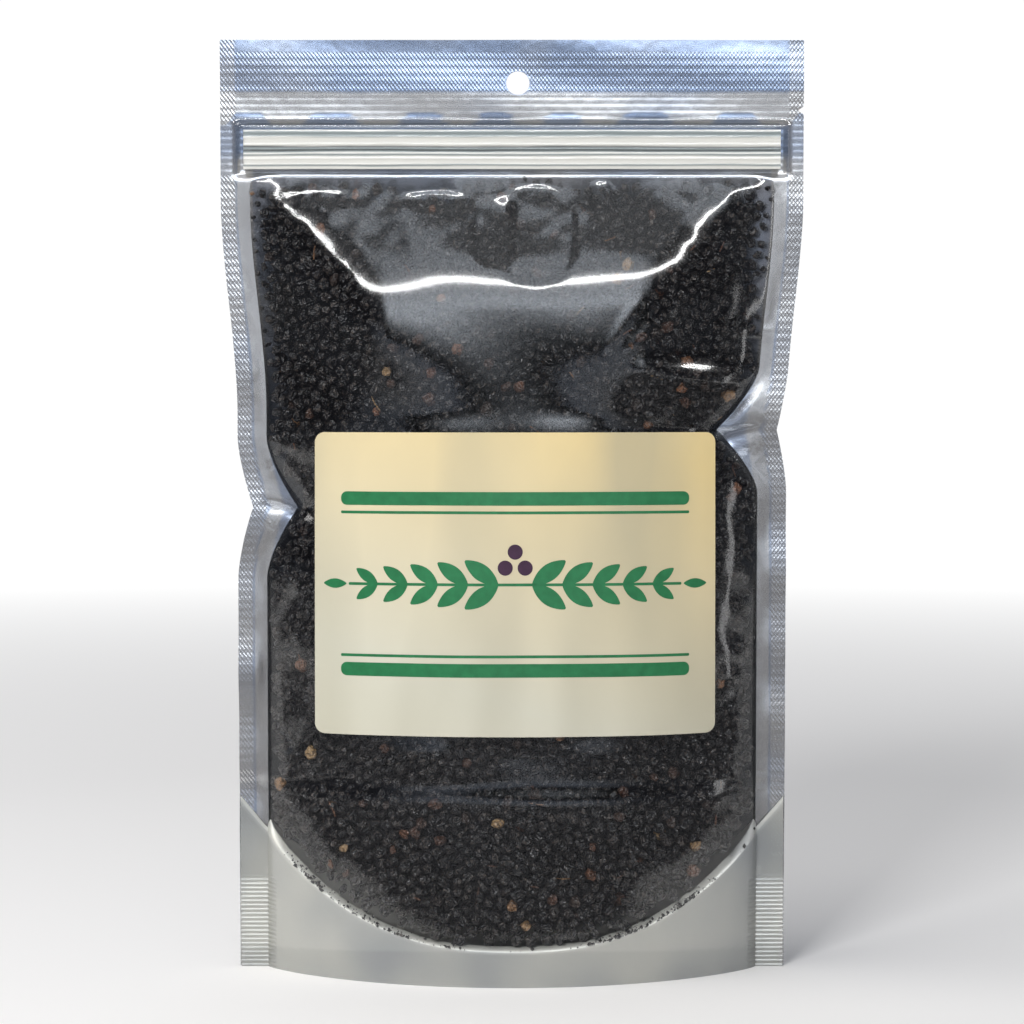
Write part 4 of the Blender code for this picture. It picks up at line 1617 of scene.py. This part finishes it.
        quads = grid_quads(rings, sides, closed=True)
        split = np.concatenate([quads[:, [0, 1, 2]], quads[:, [0, 2, 3]]])
        fan = np.array([[0, 2, 1], [0, 3, 2], [0, 4, 3]])
        faces = np.concatenate([split, fan, fan[:, ::-1] + (rings - 1) * sides])
        triangles = faces[None] + rings * sides * np.arange(count)[:, None, None]
        piece = new_piece("stalk_bits", points.reshape(-1, 3), triangles.reshape(-1, 3), finish)
        set_mask(piece, "tone", np.repeat(draw.uniform(0.95, 1.0, count), rings * sides))
        return piece

    def build(self, finish: Material) -> None:
        """Makes the layers, the core, the crumbs and the stalk bits.

        Args:
            finish: The berries' material.
        """
        self.layer(("berries_front_low", "berries_front_high"), 0.0, 0.00315, 11, finish)
        self.layer(("berries_behind_low", "berries_behind_high"), 0.0023, 0.0034, 12, finish)
        self.core(finish)
        self.dust(finish)
        self.stalks(finish)


# ---------------------------------------------------------------- the label


@dataclass
class Label:
    """The sticker on the front web, and the plain ornament printed on it: a branch of
    paired leaves with three dots, between two broad and two fine rules."""

    form: PouchForm
    size: tuple[float, float]
    centre: Vector
    radius: float = 0.0025
    thickness: float = 0.00012
    lift: float = 0.00045
    waviness: float = 0.00012
    ink_lift: float = 0.00001
    ink_thickness: float = 0.00003
    leaf_pairs: int = 5
    first_leaf: float = 0.0042
    leaf_pitch: float = 0.0076
    leaf_size: tuple[float, float] = (0.0105, 0.0021)
    leaf_lean: float = 0.62
    leaf_shrink: float = 0.09
    tip_at: float = 0.0425
    tip_size: tuple[float, float] = (0.0060, 0.0012)
    stem_length: float = 0.084
    fine: float = 0.0007
    dots: tuple[tuple[float, float], ...] = ((-0.0025, 0.0042), (0.0025, 0.0042), (0.0, 0.0082))
    dot_radius: float = 0.0019
    rule_length: float = 0.088
    broad_rule: float = 0.0034
    broad_rule_at: float = 0.0215
    fine_rule_at: float = 0.0180

    @classmethod
    def from_frame(cls, form: PouchForm) -> "Label":
        """The label at the size and place of the CAD label."""
        low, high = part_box("label")
        size = (high[0] - low[0], high[2] - low[2])
        return cls(form, size, Vector(((low[0] + high[0]) / 2, 0.0, (low[2] + high[2]) / 2)))

    def laid(self, across: Array, up: Array, raised: float = 0.0) -> Array:
        """Points on the label's face at distances across and up from its centre: the web's
        bulge with no creases, a slight wave, and how far the point is raised.

        Args:
            across: Distance to the right of the centre.
            up: Distance above it.
            raised: Distance outwards from the label's back.

        Returns:
            The points.
        """
        x, z = self.centre.x + across, self.centre.z + up
        out = self.form.inside(x, z, creased=False) + self.form.film + self.lift + raised
        out = out + self.waviness * waves(x, z, 0.030, 81, 8)
        return stacked(x, -out, z)

    def rounded(self, width: float, height: float, radius: float, rows: int,
                columns: int) -> tuple[Array, Array]:
        """A grid over a rectangle with round corners: each row as wide as the outline is at
        its height, r - sqrt(r^2 - d^2) narrower by the corners.

        Args:
            width: Width of the rectangle.
            height: Height of it.
            radius: Radius of its corners.
            rows: Rows between the corners.
            columns: Points in each row.

        Returns:
            The distances across and up.
        """
        straight = height / 2 - radius
        turn = radius * np.sin(np.linspace(0.0, math.pi / 2, 7))
        between = np.linspace(-straight, straight, rows)[1:-1]
        up = np.concatenate([-(straight + turn[::-1]), between, straight + turn])
        over = np.maximum(np.abs(up) - straight, 0.0)
        reach = width / 2 - radius + np.sqrt(np.maximum(radius**2 - over**2, 0.0))
        across = np.linspace(-1.0, 1.0, columns)[None, :] * reach[:, None]
        return across, up[:, None] + 0.0 * across

    def print_on(self, name: str, across: Array, up: Array, finish: Material) -> Piece:
        """A printed shape: a very thin sheet on the label's face."""
        low = self.thickness + self.ink_lift
        high = low + self.ink_thickness
        piece = sheet(name, self.laid(across, up, high), self.laid(across, up, low), finish)
        return piece

    def leaf(self, root: tuple[float, float], turn: float, length: float,
             width: float) -> tuple[Array, Array]:
        """A pointed leaf: along its rib u from 0 to 1, its half width is w sin(pi u)^0.8.

        Args:
            root: Where the leaf springs from.
            turn: Direction of its rib, in radians from +X.
            length: Its length.
            width: Its half width.

        Returns:
            The distances across and up of its grid.
        """
        u = np.linspace(0.02, 0.98, 18)[:, None]
        v = np.linspace(-1.0, 1.0, 7)[None, :]
        along = u * length + 0.0 * v
        beside = v * width * np.sin(math.pi * u) ** 0.8
        across = root[0] + along * math.cos(turn) - beside * math.sin(turn)
        return across, root[1] + along * math.sin(turn) + beside * math.cos(turn)

    def disc(self, middle: tuple[float, float], radius: float) -> tuple[Array, Array]:
        """A dot: rows across a circle."""
        up = np.sin(np.linspace(-math.pi / 2, math.pi / 2, 15))[:, None] * 0.999
        across = np.linspace(-1.0, 1.0, 13)[None, :] * np.sqrt(1.0 - up**2)
        return middle[0] + radius * across, middle[1] + radius * up + 0.0 * across

    def branch(self, leaf_ink: Material, dot_ink: Material) -> None:
        """A plain branch of paired leaves, mirrored about the middle, with dots between.

        Args:
            leaf_ink: Ink of the leaves and the stem.
            dot_ink: Ink of the dots.
        """
        length, width = self.leaf_size
        for word, side in (("left", -1), ("right", 1)):
            ahead = 0.0 if side > 0 else math.pi
            for index in range(self.leaf_pairs):
                root = (side * (self.first_leaf + self.leaf_pitch * index), 0.0)
                size = 1.0 - self.leaf_shrink * index
                for level, lean in (("lower", -1), ("upper", 1)):
                    turn = ahead + side * lean * self.leaf_lean
                    shape = self.leaf(root, turn, length * size, width * size)
                    self.print_on(f"print_leaf_{word}_{level}_{index + 1}", *shape, leaf_ink)
            tip = self.leaf((side * self.tip_at, 0.0), ahead, *self.tip_size)
            self.print_on(f"print_tip_{word}", *tip, leaf_ink)
        stem = self.rounded(self.stem_length, self.fine, 0.0003, 4, 60)
        self.print_on("print_stem", *stem, leaf_ink)
        for index, middle in enumerate(self.dots):
            self.print_on(f"print_dot_{index + 1}", *self.disc(middle, self.dot_radius), dot_ink)

    def rules(self, ink: Material) -> None:
        """Two broad and two fine level rules, above and below the branch.

        Args:
            ink: Their ink.
        """
        for word, side in (("upper", 1), ("lower", -1)):
            across, up = self.rounded(self.rule_length, self.broad_rule, 0.0015, 4, 70)
            self.print_on(f"print_broad_rule_{word}", across, up + side * self.broad_rule_at, ink)
            across, up = self.rounded(self.rule_length, self.fine, 0.0003, 4, 70)
            self.print_on(f"print_fine_rule_{word}", across, up + side * self.fine_rule_at, ink)

    def build(self, stock: Material, leaf_ink: Material, dot_ink: Material) -> None:
        """Makes the sticker and its print.

        Args:
            stock: Material of the sticker.
            leaf_ink: Ink of the leaves, stem and rules.
            dot_ink: Ink of the dots.
        """
        across, up = self.rounded(*self.size, self.radius, 60, 90)
        piece = sheet("label_sticker", self.laid(across, up, self.thickness), self.laid(across, up), stock)
        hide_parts("label")
        self.branch(leaf_ink, dot_ink)
        self.rules(leaf_ink)


# ---------------------------------------------------------------- the studio


@dataclass
class Studio:
    """The white sweep, the soft lights, the cards and the camera."""

    distance: float = 0.640
    camera_height: float = 0.150
    aim_height: float = 0.1187
    focal: float = 87.0
    glow_far: float = 1.25
    glow_brightness: float = 4.0
    floor_colour: Colour = (0.93, 0.915, 0.90)
    floor_glow: float = 0.05
    flag_colour: Colour = (0.17, 0.17, 0.18)
    flag_half_width: float = 0.7
    flag_reach: tuple[float, float] = (-2.6, -0.07)
    flag_height: float = 0.004
    floor_radius: float = 1.4
    bend_radius: float = 0.5
    wall_height: float = 3.0
    turns: int = 96
    light_aim: float = 0.13

    def turned(self, name: str, radii: Array, heights: Array, finish: Material) -> Piece:
        """A surface of revolution about Z through (radius, height) points.

        Args:
            name: Name of the surface.
            radii: Radius of each ring.
            heights: Height of each ring.
            finish: Its material.

        Returns:
            The new staged object.
        """
        turn = np.linspace(0.0, 2.0 * math.pi, self.turns, endpoint=False)[None, :]
        out, up = radii[:, None], heights[:, None]
        points = stacked(out * np.cos(turn), out * np.sin(turn), up)
        faces = grid_quads(len(radii), self.turns, closed=True)[:, ::-1]
        mesh = bpy.data.meshes.new(name)
        mesh.from_pydata(points.reshape(-1, 3), [], faces)
        mesh.shade_smooth()
        mesh.materials.append(finish)
        made = bpy.data.objects.new(name, mesh)
        bpy.context.scene.collection.objects.link(made)
        return made

    def sweep(self) -> None:
        """A round floor that brightens outwards to plain white, and the white wall that it
        runs into, which only the camera sees."""
        white, nodes, shader = new_material("studio_white")
        white.cycles.emission_sampling = "NONE"
        away = nodes.add("ShaderNodeVectorMath", operation="LENGTH")
        nodes.put(away.inputs[0], nodes.place())
        far = nodes.spread(away.outputs["Value"], 0.35, 1.3, 0.0, 1.0)
        floor = (*self.floor_colour, 1.0)
        nodes.put(shader.inputs["Base Color"], nodes.blend(far, floor, (0.0, 0.0, 0.0, 1.0)))
        nodes.put(shader.inputs["Emission Strength"], nodes.spread(far, 0.0, 1.0, self.floor_glow, 1.02))
        shader.inputs["Emission Color"].default_value = (1.0, 1.0, 1.0, 1.0)
        shader.inputs["Roughness"].default_value = 1.0
        shader.inputs["Specular IOR Level"].default_value = 0.0
        edge, bend = self.floor_radius, self.bend_radius
        self.turned("studio_floor", np.linspace(0.001, edge, 30), np.zeros(30), white)
        quarter = np.linspace(0.0, math.pi / 2, 12)
        radii = np.concatenate([edge + bend * np.sin(quarter), [edge + bend]])
        heights = np.concatenate([bend * (1.0 - np.cos(quarter)), [self.wall_height]])
        wall = self.turned("studio_wall", radii, heights, white)
        wall.visible_diffuse = wall.visible_glossy = False
        wall.visible_shadow = wall.visible_transmission = False

    def softbox(self, name: str, place: tuple[float, float, float], size: tuple[float, float],
                brightness: float, colour: Colour = (1.0, 1.0, 1.0),
                mirrored: bool = True, lit: bool = True) -> None:
        """A rectangular light that faces the pouch and that the camera doesn't see.

        Args:
            name: Name of the light.
            place: Where its middle is.
            size: Its width and height.
            brightness: Its radiance; the power is pi times its area times that.
            colour: Its colour.
            mirrored: Whether reflections show it.
            lit: Whether it lights matt surfaces.
        """
        data = bpy.data.lights.new(name, "AREA")
        data.shape, data.size, data.size_y = "RECTANGLE", size[0], size[1]
        data.energy = brightness * math.pi * size[0] * size[1]
        data.color = colour
        light = bpy.data.objects.new(name, data)
        light.location = place
        facing = Vector((0.0, 0.0, self.light_aim)) - Vector(place)
        light.rotation_euler = facing.to_track_quat("-Z", "Y").to_euler()
        light.visible_camera = False
        light.visible_glossy, light.visible_diffuse = mirrored, lit
        bpy.context.scene.collection.objects.link(light)

    def world(self) -> None:
        """A room: pale at eye level and overhead, dark between them and to both sides."""
        world = bpy.data.worlds.new("studio")
        bpy.context.scene.world = world
        world.use_nodes = True
        nodes = Nodes(world.node_tree)
        split = nodes.add("ShaderNodeSeparateXYZ")
        nodes.put(split.inputs[0], nodes.add("ShaderNodeTexCoord").outputs["Generated"])
        level = nodes.spread(split.outputs["Z"], -1.0, 1.0, 0.0, 1.0)
        room = nodes.ramp(
            level,
            (0.42, (0.85, 0.85, 0.85)),
            (0.48, (0.66, 0.69, 0.74)),
            (0.55, (0.54, 0.61, 0.74)),
            (0.60, (0.10, 0.11, 0.14)),
            (0.74, (0.10, 0.11, 0.14)),
            (1.00, (0.80, 0.83, 0.87)),
        )
        sideways = nodes.math("ABSOLUTE", split.outputs["X"])
        dim = nodes.spread(sideways, 0.18, 0.60, 0.0, 0.88)
        background = world.node_tree.nodes["Background"]
        nodes.put(background.inputs["Color"], nodes.blend(dim, room, (0.05, 0.05, 0.06, 1.0)))
        background.inputs["Strength"].default_value = 1.0

    def camera(self) -> None:
        """The camera, a little above the middle and looking slightly down."""
        data = bpy.data.cameras.new("camera")
        data.lens, data.sensor_width = self.focal, 36.0
        data.clip_start = 0.01
        camera = bpy.data.objects.new("camera", data)
        camera.location = (0.0, -self.distance, self.camera_height)
        facing = Vector((0.0, 0.0, self.aim_height)) - camera.location
        camera.rotation_euler = facing.to_track_quat("-Z", "Y").to_euler()
        bpy.context.scene.collection.objects.link(camera)
        bpy.context.scene.camera = camera

    def card(self, name: str, corners: list[tuple[float, float, float]], finish: Material) -> None:
        """A flat card that neither the camera nor matt surfaces see, and that casts no shadow.

        Args:
            name: Name of the card.
            corners: Its four corners, turning left as seen from its front.
            finish: Its material.
        """
        mesh = bpy.data.meshes.new(name)
        mesh.from_pydata(corners, [], [(0, 1, 2, 3)])
        mesh.materials.append(finish)
        made = bpy.data.objects.new(name, mesh)
        made.visible_camera = made.visible_diffuse = made.visible_shadow = False
        bpy.context.scene.collection.objects.link(made)

    def flag(self) -> None:
        """A dark card low in front, which keeps the floor's glare off the film."""
        made, _, shader = new_material("studio_black")
        shader.inputs["Base Color"].default_value = (*self.flag_colour, 1.0)
        shader.inputs["Roughness"].default_value = 1.0
        half, (near, far), height = self.flag_half_width, self.flag_reach, self.flag_height
        corners = [(-half, near, height), (half, near, height), (half, far, height)]
        self.card("studio_flag", [*corners, (-half, far, height)], made)

    def glow(self) -> None:
        """A wide soft light above the camera: bright in its lower middle, fading out to the
        left, to the right and downwards, and dimmer towards its top."""
        made, nodes, shader = new_material("studio_glow")
        split = nodes.add("ShaderNodeSeparateXYZ")
        nodes.put(split.inputs[0], nodes.place())
        x, z = split.outputs["X"], split.outputs["Z"]
        left = nodes.spread(x, -0.36, -0.20, 0.0, 1.0)
        right = nodes.spread(x, 0.25, 0.65, 1.0, 0.0)
        low = nodes.spread(z, 0.30, 0.60, 0.0, 1.0)
        high = nodes.spread(z, 0.72, 1.20, 1.0, 0.55)
        across = nodes.math("MULTIPLY", left, right)
        up = nodes.math("MULTIPLY", nodes.math("MULTIPLY", low, low), high)
        shader.inputs["Base Color"].default_value = (0.0, 0.0, 0.0, 1.0)
        shader.inputs["Emission Color"].default_value = (0.84, 0.91, 1.0, 1.0)
        strength = nodes.math("MULTIPLY", nodes.math("MULTIPLY", across, up), self.glow_brightness)
        nodes.put(shader.inputs["Emission Strength"], strength)
        far = -self.glow_far
        left_end, right_end, foot, head = -0.4, 0.7, 0.28, 1.9
        corners = [(left_end, far, foot), (left_end, far, head), (right_end, far, head)]
        self.card("studio_glow", [*corners, (right_end, far, foot)], made)

    def build(self) -> None:
        """Sets up the camera, the floor, the cards, the world and the lights."""
        self.camera()
        self.sweep()
        self.flag()
        self.glow()
        self.world()
        self.softbox("key", (-0.95, -0.25, 1.25), (0.9, 0.9), 3.7, (1.0, 0.98, 0.95))
        self.softbox("front_left", (-0.50, -1.05, 0.66), (0.40, 0.40), 21.0, mirrored=False)
        self.softbox("high_strip", (0.20, -1.00, 0.97), (2.2, 0.085), 22.0, lit=False)
        self.softbox("right_strip", (1.05, -0.50, 0.18), (0.12, 0.45), 2.2, lit=False)
        bpy.context.scene.view_settings.view_transform = "Standard"


# ---------------------------------------------------------------- the whole


FRONT_FOLDS = (
    Fold((0.066, 0.1410), (0.048, 0.1370), 0.00070, 0.0011),
    Fold((0.066, 0.1390), (0.055, 0.1270), 0.00060, 0.0010),
    Fold((0.066, 0.1425), (0.057, 0.1510), 0.00055, 0.0012),
    Fold((0.030, 0.1550), (0.062, 0.1515), 0.00125, 0.0034),
    Fold((0.068, 0.1650), (0.052, 0.1660), 0.00050, 0.0014),
    Fold((0.033, 0.1750), (0.024, 0.1600), 0.00035, 0.0009),
    Fold((0.044, 0.1740), (0.028, 0.1590), 0.00030, 0.0008),
    Fold((-0.065, 0.1210), (-0.050, 0.1150), 0.00070, 0.0011),
    Fold((-0.065, 0.1190), (-0.058, 0.1060), 0.00060, 0.0010),
    Fold((-0.066, 0.1230), (-0.060, 0.1330), 0.00045, 0.0012),
    Fold((-0.062, 0.0470), (-0.064, 0.0250), 0.00040, 0.0009),
    Fold((0.062, 0.0470), (0.064, 0.0250), 0.00040, 0.0009),
    Patch((-0.0195, 0.1990), (0.0085, 0.0018), 0.00035, 0.0008, 2.0),
    Patch((-0.0045, 0.1905), (0.0050, 0.0085), 0.00040),
    Patch((0.0060, 0.1900), (0.0105, 0.0125), 0.00030, 0.0008, 2.4),
    Patch((0.0230, 0.1985), (0.0026, 0.0050), 0.00040, 0.0007, 2.4),
    Patch((-0.0480, 0.1995), (0.0100, 0.0016), 0.00018, 0.0008, 2.0),
)
BACK_FOLDS = (
    Fold((0.066, 0.1410), (0.046, 0.1350), 0.00070, 0.0012),
    Fold((-0.065, 0.1210), (-0.048, 0.1170), 0.00070, 0.0012),
    Fold((-0.055, 0.1990), (-0.030, 0.1860), 0.00060, 0.0013),
    Fold((0.052, 0.2000), (0.028, 0.1860), 0.00060, 0.0013),
)


@dataclass
class Pouch:
    """The whole pouch, from its films inwards."""

    form: PouchForm = field(default_factory=PouchForm.from_frame)
    groups: Groups = field(default_factory=Groups)

    def build(self) -> None:
        """Makes every piece in order."""
        form, groups = self.form, self.groups
        masks = SealMasks(form)
        label = Label.from_frame(form)
        plain = ClearFilmFinish().material("clear_film")
        pressed = ClearFilmFinish().material("clear_film_pressed", groups)
        silver = MetallisedFinish().material(groups)
        matte = MetallisedFinish(
            "gusset_film",
            cool=(0.36, 0.38, 0.39),
            warm=(0.60, 0.60, 0.55),
            metallic=0.35,
            roughness=0.36,
            patches=0.6,
            shade=0.26,
            emboss_depth=0.00009,
        ).material(groups)
        held = (label.centre.x, label.centre.z)
        relief = WebRelief(form, 7, folds=FRONT_FOLDS, flat_middle=held, flat_size=label.size)
        front = FilmWeb(form, Side.FRONT, relief, masks)
        back = FilmWeb(form, Side.BACK, WebRelief(form, 17, folds=BACK_FOLDS, facing=1), masks, columns=130)
        front.build("front_web", "front_film", "clear_film", pressed, plain)
        back.build("back_web", "back_film", "metallised_film", silver)
        Gusset(form, masks).build(matte)
        low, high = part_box("zip_rib_strip")
        track, plastic = ZipTrack(form), ZipFinish().material(low[2], high[2])
        track.strip("zip_front_strip", "zip_rib_strip", plastic)
        track.strip("zip_back_strip", "zip_groove_strip", plastic)
        BerryFill(form, BerryShapes(), front).build(BerryFinish().material())
        stock = LabelStockFinish().material(label.centre, label.size)
        green = InkFinish("green_ink", (0.012, 0.165, 0.055)).material()
        plum = InkFinish("plum_ink", (0.045, 0.012, 0.040)).material()
        label.build(stock, green, plum)


def main() -> None:
    logging.basicConfig(level=logging.INFO, format="%(name)s %(message)s")
    Studio().build()
    Pouch().build()


if __name__ == "__main__":
    main()
